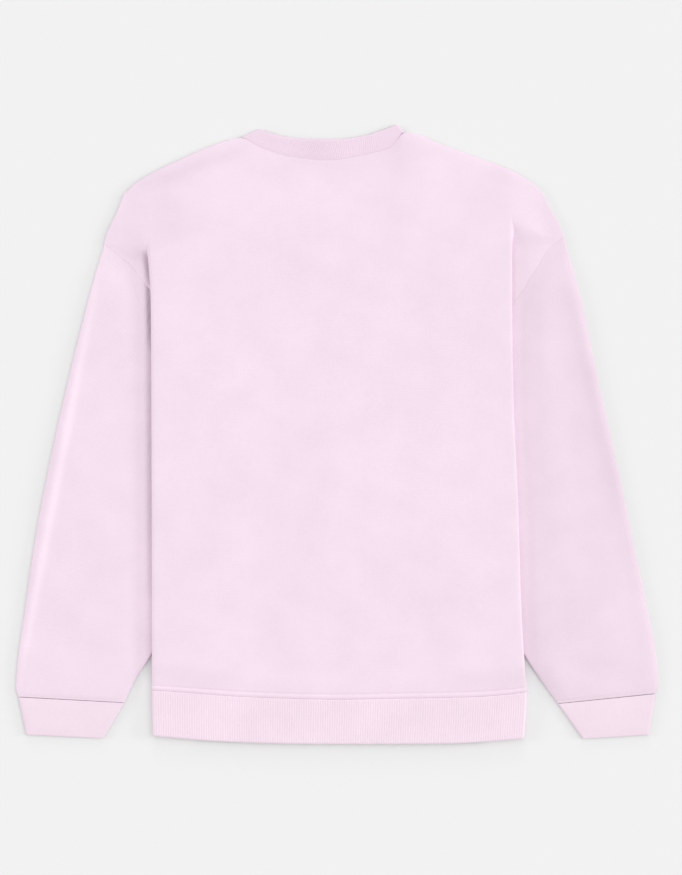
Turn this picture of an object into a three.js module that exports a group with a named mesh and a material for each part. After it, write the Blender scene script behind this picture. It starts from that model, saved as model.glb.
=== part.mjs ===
// Oversized crewneck sweatshirt laid flat on its front, so that its back shows.
// The sleeves lie beside the body, and the body's sides are folded over their inner edges.
// Millimetres: +X to the viewer's right, +Y to the neck, +Z up off the surface it lies on.
import * as THREE from "three";
import { mergeVertices } from "three/addons/utils/BufferGeometryUtils.js";

// Cloth
const WALL = 1.6; // fleece-backed jersey, a little pressed where it lies
const GAP = 0.3; // between pieces at a seam, and between layers that lie on each other
const PITCH = WALL + GAP; // from one layer's middle to the next one's
const FAR = (PITCH + WALL) / 2; // from the middle of a pair of layers to its outer faces
const NEAR = (PITCH - WALL) / 2; // from there to its inner faces
const FLOOR_LEVEL = FAR; // the middle of a pair of layers that lies on the surface
const FOLD_HEIGHT = 4 * PITCH; // from one pair of layers to the same pair above a whole fold

// Ribbing
const RIB_PITCH = 2.7;
const RIB_HEIGHT = 0.45;
const COLLAR_WIDTH = 22;
const COLLAR_INSET = 2.2; // how far its seam stays inside the neck's corners

// Body, measured from the middle of the laid garment
const SHOULDER_BEND_Y = 272.6; // where the shoulder line turns down into the sleeve's edge
const CROWN_END_Y = 150; // below this the cross rows run straight across
const HEM_SAG_START_Y = -150; // below this they bend to the hem seam's line
const HEM_SEAM_ROW = -290;
const HEM_BOTTOM_ROW = -344;
const NECK = { left: -109.1, right: 76.5, leftY: 336.3, rightY: 342.5, frontDrop: 86 };

// The folds over the sleeves
const FOLD_FIRST_FLAP = 0.8;
const FLAP_AT_HEM = 42; // width turned under at the hem
const RAMP_HOLD = 9; // past the turned-under edge, before the front comes down to the surface
const RAMP_RUN = 62;
const HEM_DROP_START_Y = -258; // below the sleeves' edges the folds come down to the surface
const HEM_DROP_END_Y = -288;

// The two long edges of the hem band
const HEM_LINES = [
  { x: -213, seam: -290.6, bottom: -342.8 },
  { x: -191, seam: -292, bottom: -344.4 },
  { x: -164, seam: -294, bottom: -347 },
  { x: -110, seam: -298, bottom: -350 },
  { x: -55, seam: -300.2, bottom: -351.6 },
  { x: 0, seam: -301.3, bottom: -351.9 },
  { x: 54, seam: -300.4, bottom: -351.9 },
  { x: 122, seam: -299.3, bottom: -351.6 },
  { x: 163, seam: -298, bottom: -349.7 },
  { x: 190, seam: -295.9, bottom: -347.6 },
  { x: 215.6, seam: -292.6, bottom: -345 },
];

// The visible edge of each fold, from the armpit to the bottom of the hem band
const FOLD_EDGE = [
  { y: 230, left: -215.8, right: 198.8 },
  { y: 186, left: -213.6, right: 198.8 },
  { y: 152, left: -211.3, right: 198.8 },
  { y: 38, left: -210.7, right: 200.5 },
  { y: -75, left: -210.4, right: 205.6 },
  { y: -189, left: -210.2, right: 209 },
  { y: -268, left: -210.2, right: 213.6 },
  { y: -291, left: -210.2, right: 215.6 },
  { y: -344, left: -209, right: 212.4 },
];

// How much of the folds' height the body has near the shoulders before the folds start
const SHOULDER_SWELL = [
  { y: 272.6, share: 0 },
  { y: 270, share: 0.14 },
  { y: 264, share: 0.33 },
  { y: 255, share: 0.5 },
  { y: 235, share: 0.8 },
  { y: 215, share: 1.02 },
  { y: 200, share: 1.1 },
  { y: 188, share: 1.1 },
  { y: 150, share: 1 },
];
// How much of the folds' height the back keeps between them, with air under it
const BACK_SPAN = [
  { y: -60, share: 0.9 },
  { y: -258, share: 0.45 },
  { y: -288, share: 0.9 },
];

// Shoulder lines, from the bend to the neck
const SHOULDER_LEFT = [
  { x: -242, y: 272.6 },
  { x: -227, y: 286.3 },
  { x: -203, y: 300 },
  { x: -174, y: 313.5 },
  { x: -142, y: 327.2 },
];
const SHOULDER_RIGHT = [
  { x: 90, y: 340.6 },
  { x: 117, y: 329.4 },
  { x: 162, y: 313 },
  { x: 194, y: 301 },
  { x: 220, y: 286.3 },
  { x: 234, y: 272.6 },
];
// The seam of the neckband on the back
const NECK_SEAM = [
  { x: -109.1, y: 336.3 },
  { x: -87.5, y: 326 },
  { x: -52, y: 315.5 },
  { x: -11, y: 311.3 },
  { x: 30, y: 317.5 },
  { x: 62, y: 326.5 },
  { x: 76.5, y: 342.5 },
];
// The neckband's free edge on the back
const NECK_EDGE = [
  { x: -86, y: 345.6 },
  { x: -67, y: 339.4 },
  { x: -38, y: 335.4 },
  { x: 0, y: 334.9 },
  { x: 28, y: 338 },
  { x: 52, y: 345.4 },
  { x: 67, y: 350.7 },
];

// Each side's outer edge of the body: down the shoulder's edge, then the armhole seam to the
// underarm. The fold over the sleeve rolls up from flat over rollLength, from foldStart down.
const SIDES = {
  left: {
    sign: -1,
    foldStart: 211,
    rollLength: 31,
    armTop: 215.8,
    underarm: 55.7,
    outer: [
      { y: 272.6, x: 242 },
      { y: 252, x: 250 },
      { y: 238.6, x: 256.7 },
      { y: 225, x: 262.4 },
      { y: 215.8, x: 264.7 },
    ],
    armhole: [
      { y: 215.8, x: 264.7 },
      { y: 202, x: 247.5 },
      { y: 192.5, x: 236.6 },
      { y: 181.5, x: 228.1 },
      { y: 161.5, x: 211.3 },
      { y: 112.5, x: 173.8 },
      { y: 55.7, x: 138.6 },
    ],
  },
  right: {
    sign: 1,
    foldStart: 232,
    rollLength: 42,
    armTop: 223.8,
    underarm: 47.7,
    outer: [
      { y: 272.6, x: 234 },
      { y: 252, x: 244.2 },
      { y: 238.6, x: 252.2 },
      { y: 223.8, x: 257.9 },
    ],
    armhole: [
      { y: 223.8, x: 257.9 },
      { y: 208, x: 238.6 },
      { y: 188, x: 227.2 },
      { y: 154, x: 204.5 },
      { y: 103, x: 164 },
      { y: 47.7, x: 128.4 },
    ],
  },
};

// Sleeves: distances of their two edges from the middle, from the armhole to the cuff seam
const SLEEVES = {
  left: {
    outer: [
      { y: 215.8, x: 264.7 },
      { y: 152, x: 283 },
      { y: 61, x: 305.6 },
      { y: -30, x: 326 },
      { y: -120, x: 343.1 },
      { y: -211, x: 356.2 },
      { y: -262, x: 363.2 },
      { y: -289, x: 364.8 },
      { y: -299.2, x: 362 },
    ],
    inner: [
      { y: 55.7, x: 138.6 },
      { y: 4.5, x: 139.7 },
      { y: -52, x: 147.7 },
      { y: -120, x: 160.2 },
      { y: -189, x: 178.4 },
      { y: -252, x: 211.6 },
      { y: -278, x: 228.5 },
      { y: -305.6, x: 242 },
    ],
    cuff: { outerX: 353.3, outerY: -341.9, innerX: 265.8, innerY: -345.9 },
  },
  right: {
    outer: [
      { y: 223.8, x: 257.9 },
      { y: 152, x: 277.8 },
      { y: 61, x: 297 },
      { y: -30, x: 317.2 },
      { y: -120, x: 336 },
      { y: -211, x: 355 },
      { y: -262, x: 363.6 },
      { y: -286, x: 364.8 },
      { y: -295.4, x: 362 },
    ],
    inner: [
      { y: 47.7, x: 128.4 },
      { y: 4.5, x: 130.6 },
      { y: -52, x: 139.7 },
      { y: -120, x: 155.6 },
      { y: -189, x: 178.4 },
      { y: -259, x: 217.4 },
      { y: -285, x: 235.4 },
      { y: -306.7, x: 251.1 },
    ],
    cuff: { outerX: 354.4, outerY: -341.9, innerX: 279.5, innerY: -346.5 },
  },
};

// Mesh steps
const ROWS = [
  272.6, 260, 248, 236, 223.8, 215.8, 207, 198, 189, 180, 171, 158, 138, 112, 80,
  55.7, 47.7, -10, -80, -150, -210, -256, -272, HEM_SEAM_ROW,
];
const STEPS = {
  third: 2,
  arc: 4,
  shoulder: 3,
  neck: 10,
  frontNeck: 24,
  sleeveRings: 11,
  turn: 4,
  underCuff: 4,
};
const RING_CROWDING = 1.15; // how much closer the sleeve's rings stand at the shoulder
const FULLEST_RING = 0.98; // where the sleeve bags out just above its cuff
const LEAST_ROLL = 0.02; // keeps the fold's radius finite where the cloth is still flat

const clamp01 = (t) => Math.min(1, Math.max(0, t));
const smooth = (t) => clamp01(t) ** 2 * (3 - 2 * clamp01(t));
const lerp = (a, b, t) => a + (b - a) * t;
const range = (n) => Array.from({ length: n + 1 }, (_, i) => i / n);

// A smooth curve through the rows of a table that never overshoots them: a cubic between each two
// rows, whose slopes at the rows are the harmonic means of their neighbours' slopes.
function through(table, from, to) {
  const rows = [...table].sort((a, b) => a[from] - b[from]);
  const slope = (i) => (rows[i + 1][to] - rows[i][to]) / (rows[i + 1][from] - rows[i][from]);
  const tangent = (i) => {
    if (i === 0) return slope(0);
    if (i === rows.length - 1) return slope(i - 1);
    const [a, b] = [slope(i - 1), slope(i)];
    return a * b <= 0 ? 0 : (2 * a * b) / (a + b);
  };
  return (at) => {
    if (at <= rows[0][from]) return rows[0][to];
    if (at >= rows.at(-1)[from]) return rows.at(-1)[to];
    const i = rows.findIndex((row) => row[from] > at) - 1;
    const span = rows[i + 1][from] - rows[i][from];
    const t = (at - rows[i][from]) / span;
    const [p, q] = [rows[i][to], rows[i + 1][to]];
    const [m, n] = [tangent(i) * span, tangent(i + 1) * span];
    return p + m * t + (3 * (q - p) - 2 * m - n) * t ** 2 + (2 * (p - q) + m + n) * t ** 3;
  };
}

// Straight lines between the values of a function at given places.
function chords(places, value) {
  const heights = places.map(value);
  return (at) => {
    const i = Math.max(0, Math.min(places.length - 2, places.findIndex((x) => x > at) - 1));
    const last = at >= places.at(-1) ? places.length - 2 : i;
    const t = (at - places[last]) / (places[last + 1] - places[last]);
    return lerp(heights[last], heights[last + 1], t);
  };
}

// A closed wall between an outer and an inner grid of points. Cells that are absent leave a notch,
// and a ring's last column joins its first.
function wall(outer, inner, { ring = false, present = () => true } = {}) {
  const positions = [];
  const rows = outer.length - 1;
  const columns = outer[0].length - (ring ? 0 : 1);
  const next = (j) => (j + 1) % outer[0].length;
  const here = (i, j) => {
    if (i < 0 || i >= rows) return false;
    if (!ring && (j < 0 || j >= columns)) return false;
    return present(i, (j + columns) % columns);
  };
  const quad = (a, b, c, d) => [a, b, c, a, c, d].forEach((p) => positions.push(p.x, p.y, p.z));
  for (let i = 0; i < rows; i += 1) {
    for (let j = 0; j < columns; j += 1) {
      if (!here(i, j)) continue;
      const k = next(j);
      quad(outer[i][j], outer[i + 1][j], outer[i + 1][k], outer[i][k]);
      quad(inner[i][j], inner[i][k], inner[i + 1][k], inner[i + 1][j]);
      if (!here(i - 1, j)) quad(outer[i][k], inner[i][k], inner[i][j], outer[i][j]);
      if (!here(i + 1, j)) quad(outer[i + 1][j], inner[i + 1][j], inner[i + 1][k], outer[i + 1][k]);
      if (!here(i, j - 1)) quad(outer[i][j], inner[i][j], inner[i + 1][j], outer[i + 1][j]);
      if (!here(i, j + 1)) quad(outer[i + 1][k], inner[i + 1][k], inner[i][k], outer[i][k]);
    }
  }
  const geometry = new THREE.BufferGeometry();
  geometry.setAttribute("position", new THREE.Float32BufferAttribute(facingOut(positions), 3));
  const merged = mergeVertices(geometry, 1e-4);
  merged.computeVertexNormals();
  return merged;
}

// Turns every triangle round where the triangles enclose a negative volume.
function facingOut(positions) {
  const [a, b, c] = [new THREE.Vector3(), new THREE.Vector3(), new THREE.Vector3()];
  let volume = 0;
  for (let i = 0; i < positions.length; i += 9) {
    a.fromArray(positions, i);
    b.fromArray(positions, i + 3);
    c.fromArray(positions, i + 6);
    volume += a.dot(b.cross(c));
  }
  if (volume > 0) return positions;
  const turned = [];
  for (let i = 0; i < positions.length; i += 9) {
    turned.push(...positions.slice(i, i + 3), ...positions.slice(i + 6, i + 9));
    turned.push(...positions.slice(i + 3, i + 6));
  }
  return turned;
}

const foldEdge = {
  left: through(FOLD_EDGE, "y", "left"),
  right: through(FOLD_EDGE, "y", "right"),
};
const shoulderSwell = through(SHOULDER_SWELL, "y", "share");
const backSpan = through(BACK_SPAN, "y", "share");
const backShoulder = through([...SHOULDER_LEFT, ...NECK_SEAM, ...SHOULDER_RIGHT], "x", "y");
const hemSeam = through(HEM_LINES, "x", "seam");
const hemBottom = through(HEM_LINES, "x", "bottom");

// Columns across the neck stand closer at its two corners, where the front neckline is steep.
const neckMiddle = (NECK.left + NECK.right) / 2;
const neckHalf = (NECK.right - NECK.left) / 2;
const neckColumns = range(STEPS.neck).map((t) => neckMiddle - neckHalf * Math.cos(Math.PI * t));

// The front neckline is half an ellipse that hangs from the neck's two corners.
function frontNeck(x) {
  const across = (x - NECK.left) / (NECK.right - NECK.left);
  const deep = Math.sqrt(Math.max(0, 1 - ((x - neckMiddle) / neckHalf) ** 2));
  return lerp(NECK.leftY, NECK.rightY, clamp01(across)) - NECK.frontDrop * deep;
}

const topLine = {
  back: backShoulder,
  front: (x) => (x > NECK.left && x < NECK.right ? frontNeck(x) : backShoulder(x)),
};

// A cross row's real height on the body: it follows the top line at the shoulders, runs straight
// across further down, and bends to the hem seam's line, and past it to the hem's bottom edge.
function rowY(row, x, top) {
  if (row < HEM_SEAM_ROW) {
    const t = (HEM_SEAM_ROW - row) / (HEM_SEAM_ROW - HEM_BOTTOM_ROW);
    return lerp(hemSeam(x), hemBottom(x), t);
  }
  const crown = smooth((row - CROWN_END_Y) / (SHOULDER_BEND_Y - CROWN_END_Y));
  const low = clamp01((HEM_SAG_START_Y - row) / (HEM_SAG_START_Y - HEM_SEAM_ROW));
  return row + crown * (top(x) - SHOULDER_BEND_Y) + low * (hemSeam(x) - HEM_SEAM_ROW);
}

// How far the fold has rolled over at a row, as an angle from 0 to half a turn.
const rollAt = (side, row) => Math.PI * smooth((side.foldStart - row) / side.rollLength);

// The width turned under at a row: it widens to the underarm and narrows again to the hem.
function flapAt(name, side, row) {
  const fullRoll = side.foldStart - side.rollLength;
  const edge = Math.abs(foldEdge[name](side.underarm));
  const widest = edge - side.armhole.at(-1).x + 1;
  if (row >= side.underarm) {
    const t = clamp01((fullRoll - row) / (fullRoll - side.underarm));
    return lerp(FOLD_FIRST_FLAP, widest, t);
  }
  const t = (side.underarm - row) / (side.underarm - HEM_SEAM_ROW);
  return lerp(widest, FLAP_AT_HEM, clamp01(t));
}

// One side of a cross row, as points on the middle of the cloth pair, from the outer edge inward:
// the layer outside the fold, an arc up, the flap, an arc back, and the start of the top layers.
// Distances run inward from the fold's visible edge, and each point keeps its upward normal. The
// arcs widen as the roll opens out, and the cloth round the start of the fold swells to its height.
function foldPoints(name, row) {
  const side = SIDES[name];
  const roll = Math.max(LEAST_ROLL, rollAt(side, row));
  const flap = flapAt(name, side, row);
  const radius = PITCH * Math.sqrt(Math.PI / roll);
  const drop = 2 * PITCH * smooth((HEM_DROP_START_Y - row) / (HEM_DROP_START_Y - HEM_DROP_END_Y));
  const rise = 2 * radius * (1 - Math.cos(roll)) + flap * Math.sin(roll);
  const swell = Math.max(0, FOLD_HEIGHT * shoulderSwell(row) - rise);
  const top = { s: PITCH + FAR, z: FLOOR_LEVEL + rise + swell - drop };
  const normal = (t) => ({ ns: -Math.sin(t), nz: Math.cos(t) });
  const upper = range(STEPS.arc).map((t) => {
    const heading = roll * (1 - t);
    return {
      s: top.s - radius * Math.sin(heading),
      z: top.z - radius * (1 - Math.cos(heading)),
      ...normal(heading),
    };
  });
  const flapStart = {
    s: upper[0].s - flap * Math.cos(roll),
    z: upper[0].z - flap * Math.sin(roll),
  };
  const lower = range(STEPS.arc).map((t) => {
    const heading = roll * t;
    return {
      s: flapStart.s - radius * (Math.sin(roll) - Math.sin(heading)),
      z: flapStart.z - radius * (Math.cos(heading) - Math.cos(roll)),
      ...normal(heading),
    };
  });
  const outerTable = row >= side.armTop ? side.outer : side.armhole;
  const edge = foldEdge[name](row);
  const outerS = Math.abs(edge) - through(outerTable, "y", "x")(row);
  const third = range(STEPS.third).slice(0, -1).map((t) => ({
    s: lerp(outerS, lower[0].s, t),
    z: lerp(FLOOR_LEVEL, lower[0].z, smooth(t)),
    ...normal(0),
  }));
  return [...third, ...lower, ...upper].map((p) => ({
    x: edge - side.sign * p.s,
    z: p.z,
    nx: -side.sign * p.ns,
    nz: p.nz,
  }));
}

// The height of a layer between the two folds: the front comes down past the flaps, and the back
// keeps a share of the straight line from fold to fold.
function spanHeight(row, leftEnd, rightEnd, isBack) {
  const fall = (name, end, x) => {
    const reach = flapAt(name, SIDES[name], row) + RAMP_HOLD;
    const inward = (end.x - x) * SIDES[name].sign;
    return (end.z - FLOOR_LEVEL) * (1 - smooth((inward - reach) / RAMP_RUN));
  };
  const front = (x) => FLOOR_LEVEL + fall("left", leftEnd, x) + fall("right", rightEnd, x);
  if (!isBack) return front;
  const across = (x) => (x - leftEnd.x) / (rightEnd.x - leftEnd.x);
  return (x) => lerp(front(x), lerp(leftEnd.z, rightEnd.z, across(x)), backSpan(row));
}

// The points of a layer between the two folds at the given places across.
function spanPoints(row, leftEnd, rightEnd, places, isBack) {
  const height = spanHeight(row, leftEnd, rightEnd, isBack);
  return places.map((x) => {
    const slope = height(x + 0.5) - height(x - 0.5);
    const size = Math.hypot(slope, 1);
    return { x, z: height(x), nx: -slope / size, nz: 1 / size };
  });
}

// A whole cross row of the body, from the left outer edge to the right.
function bodyRow(row, isBack) {
  const left = foldPoints("left", row);
  const right = foldPoints("right", row).reverse();
  const [a, b] = [left.at(-1), right[0]];
  const places = [
    ...range(STEPS.shoulder).slice(1, -1).map((t) => lerp(a.x, NECK.left, t)),
    ...neckColumns,
    ...range(STEPS.shoulder).slice(1, -1).map((t) => lerp(NECK.right, b.x, t)),
  ];
  return [...left, ...spanPoints(row, a, b, places, isBack), ...right];
}

const SIDE_COLUMNS = STEPS.third + STEPS.arc + 1; // columns of a side that end at the underarm

// Puts a row of points at its place along the body and moves it out along its normals.
const placed = (points, row, top, offset) =>
  points.map((p) => {
    const x = p.x + p.nx * offset;
    return new THREE.Vector3(x, rowY(row, p.x, top), p.z + p.nz * offset);
  });

// The back and the front are the two layers of one pair, on either side of its middle.
function panel(name) {
  const isBack = name === "back";
  const rows = ROWS.map((row) => ({ row, points: bodyRow(row, isBack) }));
  const direction = isBack ? 1 : -1;
  const skin = (offset) =>
    rows.map(({ row, points }) => placed(points, row, topLine[name], direction * offset));
  const cells = rows[0].points.length - 1;
  const sideCells = SIDE_COLUMNS - 1;
  const present = (i, j) => {
    if (j < sideCells) return ROWS[i + 1] >= SIDES.left.underarm;
    if (j >= cells - sideCells) return ROWS[i + 1] >= SIDES.right.underarm;
    return true;
  };
  return wall(skin(FAR), skin(NEAR), { present });
}

// A closed loop round a pair of layers: over its upper side, round one end, back along its lower
// side and round the other end. Points and normals come from the middle line of the pair.
function loopAround(upper, lower, offset, extra = () => 0) {
  const at = (p, n, amount) => p.clone().addScaledVector(n, amount);
  const turn = (end, along) =>
    range(STEPS.turn).slice(1, -1).map((t) => {
      const angle = Math.PI * t;
      const n = end.n.clone().multiplyScalar(Math.cos(angle)).addScaledVector(along, Math.sin(angle));
      return at(end.p, n, offset);
    });
  const first = upper[0];
  const last = upper.at(-1);
  const lowerFirst = lower[0];
  return [
    ...upper.map((q, i) => at(q.p, q.n, offset + extra(i))),
    ...turn(last, last.along),
    ...[...lower].reverse().map((q) => at(q.p, q.n, -offset)),
    ...turn({ p: lowerFirst.p, n: lowerFirst.n.clone().negate() }, first.along.clone().negate()),
  ];
}

// The armhole seam in plan, at the body's own rows, from the top of the arm to the underarm.
function armholeLine(name) {
  const side = SIDES[name];
  const seam = through(side.armhole, "y", "x");
  return ROWS.filter((row) => row <= side.armTop && row >= side.underarm).map((row) => {
    const x = side.sign * seam(row);
    return new THREE.Vector2(x, rowY(row, x, topLine.back));
  });
}

const ORIGIN = new THREE.Vector3();
const UP = new THREE.Vector3(0, 0, 1);

// A flat pair of layers from one plan point to another, inset so that its rounded ends reach them.
function flatPair(from, to, fractions, shape = () => new THREE.Vector2()) {
  const along = new THREE.Vector3(to.x - from.x, to.y - from.y, 0).normalize();
  return fractions.map((t) => {
    const bow = shape(t);
    const inset = FAR * (1 - 2 * t);
    const p = new THREE.Vector3(
      lerp(from.x, to.x, t) + along.x * inset + bow.x,
      lerp(from.y, to.y, t) + along.y * inset + bow.y,
      FLOOR_LEVEL,
    );
    return { p, n: UP.clone(), along };
  });
}

// A sleeve: a flat tube whose rings swing from the slanting armhole seam to the cuff seam.
function sleeve(name) {
  const { sign } = SIDES[name];
  const { outer, inner } = SLEEVES[name];
  const seam = armholeLine(name);
  const outerX = through(outer, "y", "x");
  const innerX = through(inner, "y", "x");
  const start = seam[0];
  const end = seam.at(-1);
  const chord = end.clone().sub(start);
  const fractions = seam.map((q) => q.clone().sub(start).dot(chord) / chord.lengthSq());
  const outward = new THREE.Vector2(sign * Math.abs(chord.y), -Math.abs(chord.x)).normalize();
  const ringAt = (v, offset) => {
    const outerY = lerp(outer[0].y, outer.at(-1).y, v);
    const innerY = lerp(inner[0].y, inner.at(-1).y, v);
    const from = new THREE.Vector2(sign * outerX(outerY), outerY);
    const to = new THREE.Vector2(sign * innerX(innerY), innerY);
    const shape = (t) => {
      const i = fractions.indexOf(t);
      const bow = seam[i].clone().sub(start.clone().addScaledVector(chord, t));
      return bow.multiplyScalar((1 - v) ** 2).addScaledVector(outward, v === 0 ? 2 * GAP : 0);
    };
    const pair = flatPair(from, to, fractions, shape);
    return loopAround(pair, pair, offset);
  };
  const rings = range(STEPS.sleeveRings).map((t) => t ** RING_CROWDING);
  rings.splice(-1, 0, FULLEST_RING);
  return wall(rings.map((v) => ringAt(v, FAR)), rings.map((v) => ringAt(v, NEAR)), { ring: true });
}

// A cuff: a flat ribbed tube from the sleeve's seam to the wrist, ribbed where it faces up.
function cuff(name) {
  const { sign } = SIDES[name];
  const { outer, inner, cuff: wrist } = SLEEVES[name];
  const seamOuter = new THREE.Vector2(sign * outer.at(-1).x, outer.at(-1).y - 2 * GAP);
  const seamInner = new THREE.Vector2(sign * inner.at(-1).x, inner.at(-1).y - 2 * GAP);
  const wristOuter = new THREE.Vector2(sign * wrist.outerX, wrist.outerY);
  const wristInner = new THREE.Vector2(sign * wrist.innerX, wrist.innerY);
  const ribs = Math.round((wrist.outerX - wrist.innerX) / RIB_PITCH);
  const fine = range(2 * ribs);
  const coarse = range(STEPS.underCuff);
  const ringAt = (v, offset, ribHeight) => {
    const from = seamOuter.clone().lerp(wristOuter, v);
    const to = seamInner.clone().lerp(wristInner, v);
    const rib = (i) => (i % 2 === 1 ? ribHeight : 0);
    return loopAround(flatPair(from, to, fine), flatPair(from, to, coarse), offset, rib);
  };
  const ends = [0, 1];
  const outerRings = ends.map((v) => ringAt(v, FAR, RIB_HEIGHT));
  return wall(outerRings, ends.map((v) => ringAt(v, NEAR, 0)), { ring: true });
}

// The hem band: one ribbed ring that follows the folds of the body above it.
function hemBand() {
  const rows = [HEM_SEAM_ROW - 2 * GAP, HEM_BOTTOM_ROW];
  const width = foldEdge.right(HEM_SEAM_ROW) - foldEdge.left(HEM_SEAM_ROW);
  const ribs = Math.round(width / RIB_PITCH);
  const ringAt = (row, offset, ribHeight) => {
    const left = foldPoints("left", row).slice(SIDE_COLUMNS - 1);
    const right = foldPoints("right", row).slice(SIDE_COLUMNS - 1).reverse();
    const [a, b] = [left.at(-1), right[0]];
    const middle = (count) => range(count).slice(1, -1).map((t) => lerp(a.x, b.x, t));
    const whole = (count, isUpper) =>
      [...left, ...spanPoints(row, a, b, middle(count), isUpper), ...right].map((q) => ({
        p: new THREE.Vector3(q.x, rowY(row, q.x, topLine.back), q.z),
        n: new THREE.Vector3(q.nx, 0, q.nz),
      }));
    const upper = whole(2 * ribs, true);
    const lower = whole(STEPS.neck + 2 * STEPS.shoulder, false);
    const heading = (p, q) => new THREE.Vector3(Math.sign(q.p.x - p.p.x), 0, 0);
    upper[0].along = heading(upper[0], upper[1]);
    upper.at(-1).along = heading(upper.at(-2), upper.at(-1));
    const first = left.length;
    const last = first + 2 * ribs - 1;
    const rib = (i) => (i >= first && i < last && (i - first) % 2 === 1 ? ribHeight : 0);
    return loopAround(upper, lower, offset, rib);
  };
  const outerRings = rows.map((row) => ringAt(row, FAR, RIB_HEIGHT));
  return wall(outerRings, rows.map((row) => ringAt(row, NEAR, 0)), { ring: true });
}

// The neckband: a ribbed band round the neck, over the back's seam and down round the front's.
function collar() {
  const backSeam = chords(neckColumns, backShoulder);
  const frontSeam = chords(neckColumns, frontNeck);
  const backEdge = through(NECK_EDGE, "x", "y");
  const shrink = 1 - COLLAR_INSET / neckHalf;
  const cornerY = (x) => lerp(NECK.leftY, NECK.rightY, (x - NECK.left) / (2 * neckHalf));
  const seamPoint = (line, t) => {
    const x = neckMiddle + (t - 0.5) * 2 * neckHalf;
    const inX = neckMiddle + (x - neckMiddle) * shrink;
    return new THREE.Vector2(inX, cornerY(inX) + (line(x) - cornerY(x)) * shrink + 2 * GAP);
  };
  const [edgeLeft, edgeRight] = [NECK_EDGE[0], NECK_EDGE.at(-1)];
  const edgeBack = (t) => {
    const x = lerp(edgeLeft.x, edgeRight.x, t);
    return new THREE.Vector2(x, backEdge(x));
  };
  const edgeFront = (t) => {
    const angle = Math.acos(1 - 2 * t);
    const x = lerp(edgeLeft.x, edgeRight.x, t);
    const drop = NECK.frontDrop - COLLAR_WIDTH + (edgeRight.y - NECK.rightY) / 2;
    return new THREE.Vector2(x, lerp(edgeLeft.y, edgeRight.y, t) - drop * Math.sin(angle));
  };
  const half = PITCH / 2;
  const ribs = Math.round((2 * neckHalf) / RIB_PITCH);
  const stations = range(2 * ribs).map((t, i) => ({
    seam: seamPoint(backSeam, t),
    edge: edgeBack(t),
    normal: UP,
    height: FLOOR_LEVEL + half,
    rib: i % 2,
  }));
  const turnAt = (t) => {
    const seam = seamPoint(backSeam, t);
    const edge = edgeBack(t);
    const crease = edge.clone().sub(seam).normalize();
    const sign = t === 1 ? 1 : -1;
    return new THREE.Vector3(sign * crease.y, -sign * crease.x, 0);
  };
  const turn = (t, direction) => {
    const out = turnAt(t);
    return range(STEPS.turn).slice(1, -1).map((u) => {
      const angle = direction > 0 ? Math.PI * u : Math.PI * (1 - u);
      const n = UP.clone().multiplyScalar(Math.cos(angle)).addScaledVector(out, Math.sin(angle));
      return {
        seam: seamPoint(backSeam, t),
        edge: edgeBack(t),
        normal: n,
        height: FLOOR_LEVEL + half * Math.cos(angle),
        aside: out.clone().multiplyScalar(half * Math.sin(angle)),
      };
    });
  };
  const frontSteps = range(STEPS.frontNeck).map((t) => (1 + Math.cos(Math.PI * t)) / 2);
  const front = frontSteps.map((t) => ({
    seam: seamPoint(t === 0 || t === 1 ? backSeam : frontSeam, t),
    edge: edgeFront(t),
    normal: UP.clone().negate(),
    height: FLOOR_LEVEL - half,
  }));
  stations.push(...turn(1, 1), ...front, ...turn(0, -1));
  const skin = (offset, ribHeight) =>
    [0, 1].map((w) =>
      stations.map(({ seam, edge, normal, height, aside = ORIGIN, rib = 0 }) => {
        const flat = seam.clone().lerp(edge, w);
        const p = new THREE.Vector3(flat.x, flat.y, height).add(aside);
        return p.addScaledVector(normal, offset + rib * ribHeight);
      }));
  return wall(skin(WALL / 2, RIB_HEIGHT), skin(-WALL / 2, 0), { ring: true });
}

const jersey = () =>
  new THREE.MeshStandardMaterial({ color: 0xf3dfee, roughness: 0.95, metalness: 0 });
const ribbing = () =>
  new THREE.MeshStandardMaterial({ color: 0xf0dbea, roughness: 0.97, metalness: 0 });

const PIECES = [
  { name: "back_panel", geometry: panel("back"), material: jersey() },
  { name: "front_panel", geometry: panel("front"), material: jersey() },
  { name: "sleeve_left", geometry: sleeve("left"), material: jersey() },
  { name: "sleeve_right", geometry: sleeve("right"), material: jersey() },
  { name: "cuff_left", geometry: cuff("left"), material: ribbing() },
  { name: "cuff_right", geometry: cuff("right"), material: ribbing() },
  { name: "collar", geometry: collar(), material: ribbing() },
  { name: "hem_band", geometry: hemBand(), material: ribbing() },
];

const sweatshirt = new THREE.Group();
for (const { name, geometry, material } of PIECES) {
  const mesh = new THREE.Mesh(geometry, material);
  mesh.name = name;
  sweatshirt.add(mesh);
}

export default sweatshirt;
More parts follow.
